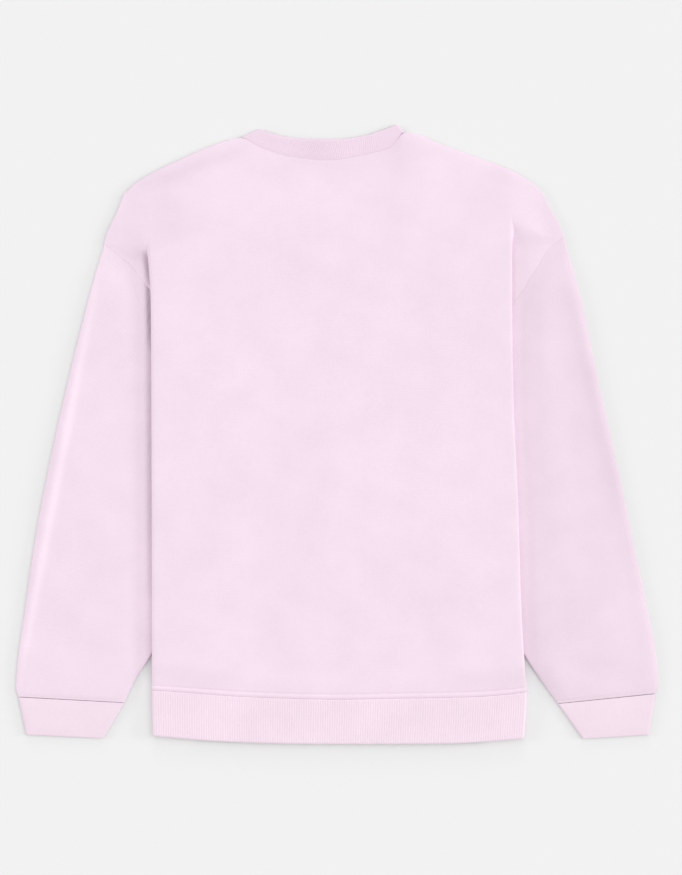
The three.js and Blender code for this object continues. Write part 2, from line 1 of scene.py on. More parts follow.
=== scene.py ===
import bpy
import numpy as np
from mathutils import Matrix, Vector


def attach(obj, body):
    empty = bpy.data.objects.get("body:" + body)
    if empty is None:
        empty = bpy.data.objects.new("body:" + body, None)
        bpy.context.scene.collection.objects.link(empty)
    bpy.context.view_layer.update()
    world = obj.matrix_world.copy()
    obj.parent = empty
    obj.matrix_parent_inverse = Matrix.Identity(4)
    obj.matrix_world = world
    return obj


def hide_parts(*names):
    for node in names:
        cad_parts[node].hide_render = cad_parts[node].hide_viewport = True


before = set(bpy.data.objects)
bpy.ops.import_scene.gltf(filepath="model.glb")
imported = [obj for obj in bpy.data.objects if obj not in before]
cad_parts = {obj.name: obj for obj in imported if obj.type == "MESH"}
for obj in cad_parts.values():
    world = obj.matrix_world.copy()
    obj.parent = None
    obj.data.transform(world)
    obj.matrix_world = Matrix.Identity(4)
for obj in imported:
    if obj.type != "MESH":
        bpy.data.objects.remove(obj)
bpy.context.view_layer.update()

# The sweatshirt lies on its front, back up, in the frame of the CAD model.
# Shapes are worked out in millimetres and become metres when a mesh is made.
MM = 0.001

# Cloth, as in the CAD model
WALL = 1.6
GAP = 0.3
PITCH = WALL + GAP
FAR = (PITCH + WALL) / 2  # from the middle of a pair of layers to its outer faces
NEAR = (PITCH - WALL) / 2  # from there to its inner faces
FLOOR_LEVEL = FAR
ROUNDING = 1.3  # from a layer's edge to where it has its whole thickness
DEEP, SHALLOW = 0.6, 0.28  # how much thinner it is at a free edge, and at a flat seam
FAINT = 0.12  # the same at the neck's and the cuffs' seams, which hardly show
SEAM = 0.03  # from a seam's line to the piece sewn on below it
NOT_NEAR = 1e3  # the distance noted where no edge is near

# Body
SHOULDER_BEND_Y = 272.6
CROWN_END_Y = 150
HEM_SAG_START_Y = -150
HEM_SEAM_ROW = -290
HEM_BOTTOM_ROW = -344
NECK_LEFT, NECK_RIGHT = -109.1, 76.5
NECK_LEFT_Y, NECK_RIGHT_Y = 336.3, 342.5
NECK_FRONT_DROP = 86
NECK_MIDDLE = (NECK_LEFT + NECK_RIGHT) / 2
NECK_HALF = (NECK_RIGHT - NECK_LEFT) / 2
COLLAR_WIDTH = 22
COLLAR_INSET = 2.2

# Folds over the sleeves
FOLD_HEIGHT = 4 * PITCH
FOLD_FIRST_FLAP = 0.8
FLAP_AT_HEM = 42
LEAST_ROLL = 0.02
RAMP_HOLD = 9
RAMP_RUN = 62
HEM_DROP_START_Y = -258
HEM_DROP_END_Y = -288

# Ribs and stitches
RIB_PITCH = 2.7
STITCH_ABOVE_HEM = 5.8
STITCH_ABOVE_CUFF = 3.4
STITCH_PITCH = 3.2
STITCH_LENGTH = 2.5
STITCH_RADIUS = 0.3

# Tables of (y, x) or (x, y) along the edges
FOLD_EDGE = {
    "left": [(230, -215.8), (186, -213.6), (152, -211.3), (38, -210.7), (-75, -210.4),
             (-189, -210.2), (-268, -210.2), (-291, -210.2), (-344, -209)],
    "right": [(230, 198.8), (186, 198.8), (152, 198.8), (38, 200.5), (-75, 205.6),
              (-189, 209), (-268, 213.6), (-291, 215.6), (-344, 212.4)],
}
TOP_LINE = [
    (-242, 272.6), (-227, 286.3), (-203, 300), (-174, 313.5), (-142, 327.2), (-109.1, 336.3),
    (-87.5, 326), (-52, 315.5), (-11, 311.3), (30, 317.5), (62, 326.5), (76.5, 342.5),
    (90, 340.6), (117, 329.4), (162, 313), (194, 301), (220, 286.3), (234, 272.6),
]
NECK_EDGE = [(-86, 345.6), (-67, 339.4), (-38, 335.4), (0, 334.9), (28, 338), (52, 345.4),
             (67, 350.7)]
HEM_SEAM = [(-213, -290.6), (-191, -292), (-164, -294), (-110, -298), (-55, -300.2),
            (0, -301.3), (54, -300.4), (122, -299.3), (163, -298), (190, -295.9),
            (215.6, -292.6)]
HEM_BOTTOM = [(-213, -342.8), (-191, -344.4), (-164, -347), (-110, -350), (-55, -351.6),
              (0, -351.9), (54, -351.9), (122, -351.6), (163, -349.7), (190, -347.6),
              (215.6, -345)]
# How much of the folds' height the body has near the shoulders before they start (y, share)
SHOULDER_SWELL = [(150, 1), (188, 1.1), (200, 1.1), (215, 1.02), (235, 0.8), (255, 0.5),
                  (264, 0.33), (270, 0.14), (272.6, 0)]
# How much of the folds' height the back keeps between them, with air under it (y, share)
BACK_SPAN = [(-344, 0.9), (-288, 0.9), (-258, 0.45), (-60, 0.9), (272.6, 0.9)]
SIDES = {
    "left": {
        "sign": -1, "fold_start": 211, "roll_length": 31, "arm_top": 215.8, "underarm": 55.7,
        "outer": [(272.6, 242), (252, 250), (238.6, 256.7), (225, 262.4), (215.8, 264.7)],
        "armhole": [(215.8, 264.7), (202, 247.5), (192.5, 236.6), (181.5, 228.1),
                    (161.5, 211.3), (112.5, 173.8), (55.7, 138.6)],
    },
    "right": {
        "sign": 1, "fold_start": 232, "roll_length": 42, "arm_top": 223.8, "underarm": 47.7,
        "outer": [(272.6, 234), (252, 244.2), (238.6, 252.2), (223.8, 257.9)],
        "armhole": [(223.8, 257.9), (208, 238.6), (188, 227.2), (154, 204.5), (103, 164),
                    (47.7, 128.4)],
    },
}
SLEEVES = {
    "left": {
        "outer": [(215.8, 264.7), (152, 283), (61, 305.6), (-30, 326), (-120, 343.1),
                  (-211, 356.2), (-262, 363.2), (-289, 364.8), (-299.2, 362)],
        "inner": [(55.7, 138.6), (4.5, 139.7), (-52, 147.7), (-120, 160.2), (-189, 178.4),
                  (-252, 211.6), (-278, 228.5), (-305.6, 242)],
        "wrist_outer": (353.3, -341.9),
        "wrist_inner": (265.8, -345.9),
    },
    "right": {
        "outer": [(223.8, 257.9), (152, 277.8), (61, 297), (-30, 317.2), (-120, 336),
                  (-211, 355), (-262, 363.6), (-286, 364.8), (-295.4, 362)],
        "inner": [(47.7, 128.4), (4.5, 130.6), (-52, 139.7), (-120, 155.6), (-189, 178.4),
                  (-259, 217.4), (-285, 235.4), (-306.7, 251.1)],
        "wrist_outer": (354.4, -341.9),
        "wrist_inner": (279.5, -346.5),
    },
}
SLEEVE_LENGTHS = 514, 361  # at the outer and at the inner edge
CUFF_DEPTH = 44


# --- Camera: straight above, far enough off for the flat look of the picture ---
CAMERA_HEIGHT = 2.765
CAMERA_AT = (0.0045, -0.004)

camera_data = bpy.data.cameras.new("camera")
camera_data.type = "PERSP"
camera_data.lens = 100
camera_data.sensor_width = 36
camera = bpy.data.objects.new("camera", camera_data)
camera.location = (*CAMERA_AT, CAMERA_HEIGHT)
bpy.context.scene.collection.objects.link(camera)
bpy.context.scene.camera = camera


# --- Shape tools ---
def smooth(t):
    """Rises from 0 to 1 with level ends: three t squared less two t cubed."""
    t = np.clip(t, 0, 1)
    return t * t * (3 - 2 * t)


def lerp(a, b, t):
    """The value a share t of the way from a to b."""
    return a + (b - a) * t


def bell(t):
    """A smooth bump of height 1 round 0: e to the power minus t squared."""
    return np.exp(-np.square(t))


def rounded(distance, radius):
    """A quarter circle's height, as a share of its radius, at a distance in from an edge."""
    return np.sqrt(1 - np.square(1 - np.clip(distance / radius, 0, 1)))


def through(points):
    """A smooth curve through (x, y) points that never overshoots them: a cubic between each two
    points, whose slope at a point is the harmonic mean of the slopes on its two sides."""
    points = np.array(sorted(points), float)
    xs, ys = points.T
    slopes = np.diff(ys) / np.diff(xs)
    before, after = slopes[:-1], slopes[1:]
    same_way = before * after > 0
    mean = 2 * before * after / np.where(same_way, before + after, 1)
    tangents = np.concatenate([slopes[:1], np.where(same_way, mean, 0), slopes[-1:]])

    def curve(x):
        """The cubic's value, held level beyond the ends."""
        x = np.clip(x, xs[0], xs[-1])
        i = np.clip(np.searchsorted(xs, x, side="right") - 1, 0, len(xs) - 2)
        span = xs[i + 1] - xs[i]
        t = (x - xs[i]) / span
        p, q = ys[i], ys[i + 1]
        m, n = tangents[i] * span, tangents[i + 1] * span
        return p + m * t + (3 * (q - p) - 2 * m - n) * t**2 + (2 * (p - q) + m + n) * t**3

    return curve


def billow(x, y, size, seed):
    """Uneven soft swelling, mostly between -1 and 1: a sum of plane waves whose directions,
    lengths (round size) and phases are drawn from a seeded table."""
    draw = np.random.default_rng(seed)
    waves = 9
    total = 0
    for _ in range(waves):
        angle, phase = draw.uniform(0, 2 * np.pi, 2)
        length = size * draw.uniform(0.7, 1.8)
        along = x * np.cos(angle) + y * np.sin(angle)
        total = total + np.sin(2 * np.pi * along / length + phase)
    return total / np.sqrt(waves)


# These bell lines also serve for the painted shade and painted highlight tables of the body and the
# sleeves, whose heights are shares of darkening.
def creases(x, y, table):
    """Soft ridges (height above 0) and troughs (below 0), as listed in a table. Each runs from one
    plan point to another, is a bell curve across, and tapers to nothing at both ends."""
    total = np.zeros(np.broadcast(x, y).shape)
    for x0, y0, x1, y1, width, height in table:
        dx, dy = x1 - x0, y1 - y0
        length = np.hypot(dx, dy)
        along = ((x - x0) * dx + (y - y0) * dy) / length**2
        across = ((x - x0) * dy - (y - y0) * dx) / length
        taper = np.sqrt(np.clip(4 * along * (1 - along), 0, 1))
        total = total + height * taper * bell(across / width)
    return total


def spread(*parts):
    """Joins runs of numbers into one sorted array without near repeats."""
    values = np.unique(np.concatenate([np.atleast_1d(np.asarray(p, float)) for p in parts]))
    keep = np.concatenate([[True], np.diff(values) > 1e-3])
    return values[keep]


def make_mesh(name, points, quads, uvs, material, nap_and_painted_shade):
    """Puts points (mm), four-cornered faces, their corners' UVs (mm) and the painted shade at the
    points (a share of darkening, painted highlight where below 0) into a new object."""
    used, packed = np.unique(quads, return_inverse=True)
    quads = packed.reshape(quads.shape)
    points, nap_and_painted_shade = points[used], nap_and_painted_shade[used]
    corners = points[quads]
    fans = np.cross(corners[:, 1] - corners[:, 0], corners[:, 2] - corners[:, 0])
    fans = fans + np.cross(corners[:, 2] - corners[:, 0], corners[:, 3] - corners[:, 0])
    if np.einsum("ij,ij->", corners.mean(axis=1), fans) < 0:
        quads = quads[:, ::-1]
        uvs = uvs[:, ::-1]
    mesh = bpy.data.meshes.new(name)
    mesh.vertices.add(len(points))
    mesh.vertices.foreach_set("co", (points * MM).astype(np.float32).ravel())
    mesh.loops.add(quads.size)
    mesh.loops.foreach_set("vertex_index", quads.astype(np.int32).ravel())
    mesh.polygons.add(len(quads))
    mesh.polygons.foreach_set("loop_start", np.arange(0, quads.size, 4, dtype=np.int32))
    mesh.update(calc_edges=True)
    layer = mesh.uv_layers.new(name="cloth")
    layer.data.foreach_set("uv", (uvs * MM).astype(np.float32).ravel())
    tone = mesh.attributes.new("nap_and_painted_shade", "FLOAT", "POINT")
    tone.data.foreach_set("value", nap_and_painted_shade.astype(np.float32))
    mesh.polygons.foreach_set("use_smooth", np.ones(len(quads), bool))
    mesh.set_sharp_from_angle(angle=np.radians(50))
    mesh.validate()
    mesh.materials.append(material)
    piece = bpy.data.objects.new(name, mesh)
    bpy.context.scene.collection.objects.link(piece)
    return piece


def shell(name, outer, inner, flat, material, ring=False, present=None, nap_and_painted_shade=0):
    """A closed wall between an outer and an inner grid of points (rows, columns, 3). A cell that
    isn't present leaves a notch, the rims are closed, and a ring's last column joins its first.
    flat is a grid (rows, columns, 2) of places on the flat cloth, in mm, and the last argument the
    share of painted shade that darkens the cloth there (painted highlight where below 0)."""
    rows, columns = outer.shape[:2]
    across = columns + ring
    corner = np.arange(rows * across).reshape(rows, across)
    a, b, c, d = corner[:-1, :-1], corner[1:, :-1], corner[1:, 1:], corner[:-1, 1:]
    cells = np.ones(a.shape, bool) if present is None else present
    around = np.pad(cells, 1)
    if ring:
        around[1:-1, 0], around[1:-1, -1] = cells[:, -1], cells[:, 0]
    under = rows * across
    skin = np.stack([a, b, c, d], -1)[cells]
    faces = [skin, skin[:, ::-1] + under]
    borders = [
        (around[:-2, 1:-1], d, a),
        (around[2:, 1:-1], b, c),
        (around[1:-1, :-2], a, b),
        (around[1:-1, 2:], c, d),
    ]
    for neighbour, p, q in borders:
        open_side = cells & ~neighbour
        p, q = p[open_side], q[open_side]
        faces.append(np.stack([q, p, p + under, q + under], -1))
    faces = np.concatenate(faces)
    if ring:
        step = np.linalg.norm(outer[:, 0] - outer[:, -1], axis=-1)
        seam = flat[:, -1:] + np.stack([step, np.zeros(rows)], -1)[:, None]
        flat = np.concatenate([flat, seam], axis=1)
    uvs = np.concatenate([flat.reshape(-1, 2)] * 2)[faces]
    vertex = np.arange(rows)[:, None] * columns + np.arange(across) % columns
    vertex = np.concatenate([vertex.ravel(), vertex.ravel() + rows * columns])
    points = np.concatenate([outer.reshape(-1, 3), inner.reshape(-1, 3)])
    darker = np.broadcast_to(nap_and_painted_shade, (rows, columns)).ravel()
    return make_mesh(name, points, vertex[faces], uvs, material, np.tile(darker, 2))


def flat_places(grid):
    """Places on the flat cloth for a grid of points: distance across each row and down the first
    column, both in mm."""
    steps = np.linalg.norm(np.diff(grid, axis=1), axis=-1)
    across = np.concatenate([np.zeros((len(grid), 1)), np.cumsum(steps, axis=1)], axis=1)
    across = across - across[:, across.shape[1] // 2, None]
    middle = grid[:, grid.shape[1] // 2]
    down = np.concatenate([[0], np.cumsum(np.linalg.norm(np.diff(middle, axis=0), axis=-1))])
    return np.stack([across, np.broadcast_to(down[:, None], across.shape)], -1)


# --- Materials ---
def node_group(name, inputs, outputs):
    """A new shader node group with its sockets, and its own input and output nodes."""
    group = bpy.data.node_groups.new(name, "ShaderNodeTree")
    for label, kind, value in inputs:
        socket = group.interface.new_socket(label, in_out="INPUT", socket_type=kind)
        if value is not None:
            socket.default_value = value
    for label, kind in outputs:
        group.interface.new_socket(label, in_out="OUTPUT", socket_type=kind)
    return group, group.nodes.new("NodeGroupInput"), group.nodes.new("NodeGroupOutput")


def new_node(tree, kind, settings=None, **values):
    """A node of a kind, with its settings, and its input sockets' values by name."""
    node = tree.nodes.new(kind)
    for key, value in (settings or {}).items():
        setattr(node, key, value)
    for key, value in values.items():
        node.inputs[key.replace("_", " ")].default_value = value
    return node


def combine(tree, operation, first, second):
    """The output of a math node on two inputs, each a number or another node's output."""
    node = new_node(tree, "ShaderNodeMath", {"operation": operation})
    for socket, value in zip(node.inputs, (first, second)):
        if isinstance(value, (int, float)):
            socket.default_value = value
        else:
            tree.links.new(value, socket)
    return node.outputs[0]


def fleece_tone_and_painted_shade():
    """Brushed jersey's uneven tone: a broad cloudiness, patches a few centimetres wide and a fine
    mottle, each a noise over the object's own coordinates, lighten and darken the colour by the
    sum of their shares, and the painted shade that the points carry is taken off it (a painted
    highlight where it is below 0)."""
    group, given, made = node_group(
        "fleece_tone_and_painted_shade",
        [("Color", "NodeSocketColor", None), ("Broad", "NodeSocketFloat", 0.02),
         ("Patches", "NodeSocketFloat", 0.1), ("Fine", "NodeSocketFloat", 0.03)],
        [("Color", "NodeSocketColor"), ("Mottle", "NodeSocketFloat")],
    )
    links = group.links
    place = group.nodes.new("ShaderNodeTexCoord")
    brightness = 1
    for scale, detail, share in ((9, 2, "Broad"), (24, 2, "Patches"), (330, 3, "Fine")):
        noise = new_node(group, "ShaderNodeTexNoise", Scale=scale, Detail=detail)
        links.new(place.outputs["Object"], noise.inputs["Vector"])
        centred = combine(group, "SUBTRACT", noise.outputs["Fac"], 0.5)
        scaled = combine(group, "MULTIPLY", centred, given.outputs[share])
        brightness = combine(group, "ADD", scaled, brightness)
        if share == "Fine":
            links.new(noise.outputs["Fac"], made.inputs["Mottle"])
    # Painted shade and painted highlight: the points' attribute is taken off the brightness.
    nap_and_painted_shade = new_node(group, "ShaderNodeAttribute", {"attribute_name": "nap_and_painted_shade"})
    brightness_less_painted_shade = combine(group, "SUBTRACT", brightness, nap_and_painted_shade.outputs["Fac"])
    shade = new_node(group, "ShaderNodeVectorMath", {"operation": "SCALE"})
    links.new(given.outputs["Color"], shade.inputs[0])
    links.new(brightness_less_painted_shade, shade.inputs["Scale"])
    links.new(shade.outputs[0], made.inputs["Color"])
    return group


def knit_relief():
    """The knit's face: rows of small loops along the cloth's own UV map (two crossed waves), with
    a fuzzy nap of noise over it. Puts out a height in metres."""
    group, given, made = node_group(
        "knit_relief",
        [("Loops", "NodeSocketFloat", 0.1), ("Nap", "NodeSocketFloat", 0.3)],
        [("Height", "NodeSocketFloat")],
    )
    links = group.links
    place = group.nodes.new("ShaderNodeTexCoord")
    waves = []
    for direction, scale in (("X", 130), ("Y", 90)):
        wave = new_node(group, "ShaderNodeTexWave",
                        {"wave_type": "BANDS", "bands_direction": direction},
                        Scale=scale, Distortion=0.6, Detail=1)
        links.new(place.outputs["UV"], wave.inputs["Vector"])
        waves.append(wave.outputs["Fac"])
    loops = combine(group, "MULTIPLY", *waves)
    loop_height = combine(group, "MULTIPLY", loops, given.outputs["Loops"])
    nap_and_painted_shade = new_node(group, "ShaderNodeTexNoise", Scale=420, Detail=4, Roughness=0.65)
    links.new(place.outputs["Object"], nap_and_painted_shade.inputs["Vector"])
    nap_height = combine(group, "MULTIPLY", nap_and_painted_shade.outputs["Fac"], given.outputs["Nap"])
    links.new(combine(group, "ADD", loop_height, nap_height), made.inputs["Height"])
    return group


def srgb(*values):
    """Linear colour with alpha from sRGB numbers out of 255."""
    v = np.array(values) / 255
    linear = np.where(v <= 0.04045, v / 12.92, ((v + 0.055) / 1.055) ** 2.4)
    return (*map(float, linear), 1.0)


FLEECE_TONE_AND_PAINTED_SHADE = fleece_tone_and_painted_shade()
KNIT_RELIEF = knit_relief()


def cloth(name, colour, broad=0.03, patches=0.1, fine=0.05, loops=0.12, nap_and_painted_shade=0.35, bump=0.35,
          sheen=0.2):
    """A dull brushed cloth: toned colour, a rough surface a little smoother where the mottle is
    light, the knit's relief as bump, and a soft white sheen."""
    material = bpy.data.materials.new(name)
    material.use_nodes = True
    tree = material.node_tree
    links = tree.links
    shader = tree.nodes["Principled BSDF"]
    shader.inputs["Sheen Weight"].default_value = sheen
    shader.inputs["Sheen Roughness"].default_value = 0.5
    shader.inputs["Sheen Tint"].default_value = (1, 0.97, 1, 1)
    shader.inputs["Specular IOR Level"].default_value = 0.15
    tone = new_node(tree, "ShaderNodeGroup", {"node_tree": FLEECE_TONE_AND_PAINTED_SHADE},
                    Color=colour, Broad=broad, Patches=patches, Fine=fine)
    links.new(tone.outputs["Color"], shader.inputs["Base Color"])
    rough = new_node(tree, "ShaderNodeMapRange", From_Min=0.3, From_Max=0.7,
                     To_Min=0.98, To_Max=0.88)
    links.new(tone.outputs["Mottle"], rough.inputs["Value"])
    links.new(rough.outputs["Result"], shader.inputs["Roughness"])
    relief = new_node(tree, "ShaderNodeGroup", {"node_tree": KNIT_RELIEF}, Loops=loops, Nap=nap_and_painted_shade)
    raised = new_node(tree, "ShaderNodeBump", Strength=bump, Distance=0.001)
    links.new(relief.outputs["Height"], raised.inputs["Height"])
    links.new(raised.outputs["Normal"], shader.inputs["Normal"])
    return material


BODY_CLOTH = cloth("body_jersey", srgb(236, 216, 230))
LEFT_CLOTH = cloth("left_sleeve_jersey", srgb(235, 215, 229))
# The right sleeve is the same jersey with painted shade: its colour is a few levels darker to stand
# in for shade over the whole sleeve.
RIGHT_SLEEVE_SHADED_CLOTH = cloth("right_sleeve_jersey_painted_shade", srgb(231, 211, 225))
RIB_CLOTH = cloth("hem_ribbing", srgb(238, 218, 231), fine=0.03, nap_and_painted_shade=0.2)
COLLAR_CLOTH = cloth("collar_ribbing", srgb(233, 212, 227), fine=0.03, nap_and_painted_shade=0.2)
CUFF_CLOTH = cloth("cuff_ribbing", srgb(235, 215, 228), fine=0.03, nap_and_painted_shade=0.2)
THREAD = cloth("thread", srgb(231, 211, 224), broad=0, patches=0, fine=0.02, loops=0, nap_and_painted_shade=0.1)


# --- Body ---
back_line = through(TOP_LINE)
hem_seam, hem_bottom = through(HEM_SEAM), through(HEM_BOTTOM)
fold_edge = {name: through(rows) for name, rows in FOLD_EDGE.items()}
shoulder_swell, back_span = through(SHOULDER_SWELL), through(BACK_SPAN)


def front_line(x):
    """The front's top line: the shoulders, and between the neck's corners half an ellipse that
    hangs from them."""
    across = np.clip((x - NECK_LEFT) / (NECK_RIGHT - NECK_LEFT), 0, 1)
    deep = np.sqrt(np.clip(1 - np.square((x - NECK_MIDDLE) / NECK_HALF), 0, 1))
    neck = lerp(NECK_LEFT_Y, NECK_RIGHT_Y, across) - NECK_FRONT_DROP * deep
    return np.where((x > NECK_LEFT) & (x < NECK_RIGHT), neck, back_line(x))


def row_height(row, x, top_line):
    """A cross row's y: at the shoulders it follows the top line, further down it runs straight
    across, it bends to the hem seam's line, and past that to the hem's bottom edge."""
    crown = smooth((row - CROWN_END_Y) / (SHOULDER_BEND_Y - CROWN_END_Y))
    low = np.clip((HEM_SAG_START_Y - row) / (HEM_SAG_START_Y - HEM_SEAM_ROW), 0, 1)
    on_body = row + crown * (top_line(x) - SHOULDER_BEND_Y) + low * (hem_seam(x) - HEM_SEAM_ROW)
    to_bottom = (HEM_SEAM_ROW - row) / (HEM_SEAM_ROW - HEM_BOTTOM_ROW)
    on_band = lerp(hem_seam(x), hem_bottom(x), to_bottom)
    return np.where(row < HEM_SEAM_ROW, on_band, on_body)


def flap_width(name, row):
    """The width turned under at a row: it widens down to the underarm and narrows to the hem."""
    side = SIDES[name]
    full_roll = side["fold_start"] - side["roll_length"]
    widest = abs(float(fold_edge[name](side["underarm"]))) - side["armhole"][-1][1] + 1
    above = np.clip((full_roll - row) / (full_roll - side["underarm"]), 0, 1)
    below = np.clip((side["underarm"] - row) / (side["underarm"] - HEM_SEAM_ROW), 0, 1)
    return np.where(row >= side["underarm"], lerp(FOLD_FIRST_FLAP, widest, above),
                    lerp(widest, FLAP_AT_HEM, below))


def side_curves(name, rows, edge_steps, third_steps, arc_steps, flap_steps):
    """One side of the body's cross rows, from the outer edge inward, as a dict of grids: place x
    and z on the middle of the cloth pair, the upward normal nx and nz, the distance from the
    outer edge and the distance along the flap. In section it is the layer outside the fold, an
    arc that rolls up, the straight flap, an arc that rolls back, and the start of the top layers."""
    side = SIDES[name]
    row = rows[:, None]
    roll = np.maximum(LEAST_ROLL, np.pi * smooth((side["fold_start"] - row) / side["roll_length"]))
    flap = flap_width(name, row)
    radius = PITCH * np.sqrt(np.pi / roll)
    drop = (HEM_DROP_START_Y - row) / (HEM_DROP_START_Y - HEM_DROP_END_Y)
    rise = 2 * radius * (1 - np.cos(roll)) + flap * np.sin(roll)
    swell = np.maximum(0, FOLD_HEIGHT * shoulder_swell(row) - rise)
    top_s = PITCH + FAR
    top_z = FLOOR_LEVEL + rise + swell - 2 * PITCH * smooth(drop)
    turn = np.linspace(0, 1, arc_steps + 1)[None]
    heading = roll * (1 - turn)
    upper = (top_s - radius * np.sin(heading), top_z - radius * (1 - np.cos(heading)), heading)
    start_s = upper[0][:, :1] - flap * np.cos(roll)
    start_z = upper[1][:, :1] - flap * np.sin(roll)
    heading = roll * turn
    lower = (start_s - radius * (np.sin(roll) - np.sin(heading)),
             start_z - radius * (np.cos(heading) - np.cos(roll)), heading)
    near = np.array(edge_steps, float)
    flap_along = np.concatenate([near[None, 1:] * np.minimum(1, flap / (2 * near[-1])),
                                 lerp(np.minimum(near[-1], flap / 2), flap,
                                      np.linspace(0, 1, flap_steps + 1)[None, 1:-1])], axis=1)
    share = flap_along / flap
    middle = (lerp(start_s, upper[0][:, :1], share), lerp(start_z, upper[1][:, :1], share),
              roll + 0 * share)
    outer_x = np.where(row >= side["arm_top"], through(side["outer"])(row),
                       through(side["armhole"])(row))
    edge = fold_edge[name](row)
    outer_s = np.abs(edge) - outer_x
    width = lower[0][:, :1] - outer_s
    in_from_edge = np.concatenate([near + 0 * width, lerp(
        near[-1], width, np.linspace(0, 1, third_steps + 1)[None, 1:-1])], axis=1)
    third = (outer_s + in_from_edge,
             lerp(FLOOR_LEVEL, lower[1][:, :1], smooth(in_from_edge / width)), 0 * in_from_edge)
    s, z, tilt = (np.concatenate(parts, axis=1) for parts in zip(third, lower, middle, upper))
    far_in = np.full(s.shape, NOT_NEAR)
    far_in[:, :third[0].shape[1]] = in_from_edge
    first_flap = third[0].shape[1] + arc_steps
    on_flap = np.full(s.shape, NOT_NEAR)
    on_flap[:, first_flap] = 0
    on_flap[:, first_flap + 1:first_flap + 1 + share.shape[1]] = flap_along
    return {
        "x": edge - side["sign"] * s, "z": z,
        "nx": side["sign"] * np.sin(tilt), "nz": np.cos(tilt),
        "from_edge": far_in, "from_flap_edge": on_flap, "first_flap": first_flap,
    }


def span_height(rows, left_end, right_end, x, back):
    """The height of a layer's middle between the two folds: past each turned-under edge the front
    comes down to the surface in a long soft slope, and the back keeps a share of the straight line
    from fold to fold."""
    height = FLOOR_LEVEL
    for name, end in (("left", left_end), ("right", right_end)):
        reach = flap_width(name, rows) + RAMP_HOLD
        inward = (end[0] - x) * SIDES[name]["sign"]
        height = height + (end[1] - FLOOR_LEVEL) * (1 - smooth((inward - reach) / RAMP_RUN))
    if not back:
        return height
    across = (x - left_end[0]) / (right_end[0] - left_end[0])
    return lerp(height, lerp(left_end[1], right_end[1], across), back_span(rows))


def body_curves(rows, back, span_steps, edge_steps, third_steps, arc_steps, flap_steps):
    """Whole cross rows of the body from the left outer edge to the right, as a dict of grids."""
    sides = [side_curves(name, rows, edge_steps, third_steps, arc_steps, flap_steps)
             for name in ("left", "right")]
    left = sides[0]
    right = {k: v[:, ::-1] if isinstance(v, np.ndarray) else v for k, v in sides[1].items()}
    ends = [(left["x"][:, -1:], left["z"][:, -1:]), (right["x"][:, :1], right["z"][:, :1])]
    share = np.linspace(0, 1, span_steps + 1)[None, 1:-1]
    x = lerp(ends[0][0], ends[1][0], share)
    column = rows[:, None]
    z = span_height(column, *ends, x, back)
    slope = span_height(column, *ends, x + 0.5, back) - span_height(column, *ends, x - 0.5, back)
    size = np.hypot(slope, 1)
    far = np.full(x.shape, NOT_NEAR)
    span = {"x": x, "z": z, "nx": -slope / size, "nz": 1 / size,
            "from_edge": far, "from_flap_edge": far}
    curves = {k: np.concatenate([left[k], span[k], right[k]], axis=1) for k in span}
    curves["side_columns"] = left["first_flap"]
    return curves


def place(curves, rows, top_line, offset, lift=0):
    """Points of the body's grid, moved out along their normals by an offset and up by a lift."""
    y = row_height(rows[:, None], curves["x"], top_line)
    return np.stack([curves["x"] + curves["nx"] * offset, y + 0 * curves["x"],
                     curves["z"] + curves["nz"] * offset + lift], -1)


def thickness(*edges):
    """The thickness of a layer that is rounded off at its edges, each a distance and a depth: the
    whole wall less the deepest cut, a quarter circle's fall across the rounding."""
    cuts = [depth * (1 - rounded(distance, ROUNDING)) for distance, depth in edges]
    return WALL - np.maximum.reduce(np.broadcast_arrays(*cuts))


BODY_CREASES = [
    # x0, y0, x1, y1, width, height
    (-205, 150, -188, -60, 11, -0.35),
]
# Painted shade on the back: lines where its colour is darkened to stand in for shade along the
# shoulders, below the collar's seam and at the folds' edges, drawn like those of the creases
BODY_PAINTED_SHADE = [
    (-226, 280, -96, 327, 9, 0.06),
    (78, 336, 230, 278, 9, 0.025),
    (-112, 333, -5, 303, 6, 0.03),
    (-20, 304, 76, 334, 6, 0.025),
    (-214, 300, -180, 215, 30, 0.05),
    (-110, 318, 100, 318, 26, 0.035),
    (165, 300, 190, 225, 30, 0.025),
    (228, 270, 248, 212, 14, 0.035),
    (-218, 208, -213.5, 168, 2.8, 0.4),
    (198.8, 222, 200.5, 24, 2.2, 0.11),
    (200.5, 60, 214.5, -310, 2.2, 0.11),
]


def body_lift(x, y, row):
    """Air under the back: slight uneven swellings and creases that die out at the folds, at the
    hem seam and at the shoulders."""
    inside = np.minimum(x - fold_edge["left"](row), fold_edge["right"](row) - x)
    room = smooth((inside - 8) / 40) * smooth((row - HEM_SEAM_ROW - 9) / 40)
    room = room * smooth((SHOULDER_BEND_Y - row - 2) / 20)
    uneven = 0.22 * billow(x, y, 62, 3) + 0.08 * billow(x, y, 26, 5)
    return room * (uneven + creases(x, y, BODY_CREASES))


def hem_welt(above):
    """The seam allowance turned up behind the hem seam: a low ridge that rises from the seam and
    falls to the groove of its row of stitches."""
    ridge = 0.7 * smooth((above - 0.3) / 3) * (1 - smooth((above - 3.6) / 2.2))
    return ridge - 0.15 * bell((above - STITCH_ABOVE_HEM) / 0.7)


def hem_painted_light_and_shade(above):
    """Painted highlight and shade above the hem seam: lighter on the welt, darker at the seam and
    in the groove of the stitches, each a bell curve."""
    welt, seam = 0.05 * bell((above - 2.6) / 1.3), 0.05 * bell((above - 0.3) / 0.7)
    return seam - welt + 0.04 * bell((above - STITCH_ABOVE_HEM) / 1)


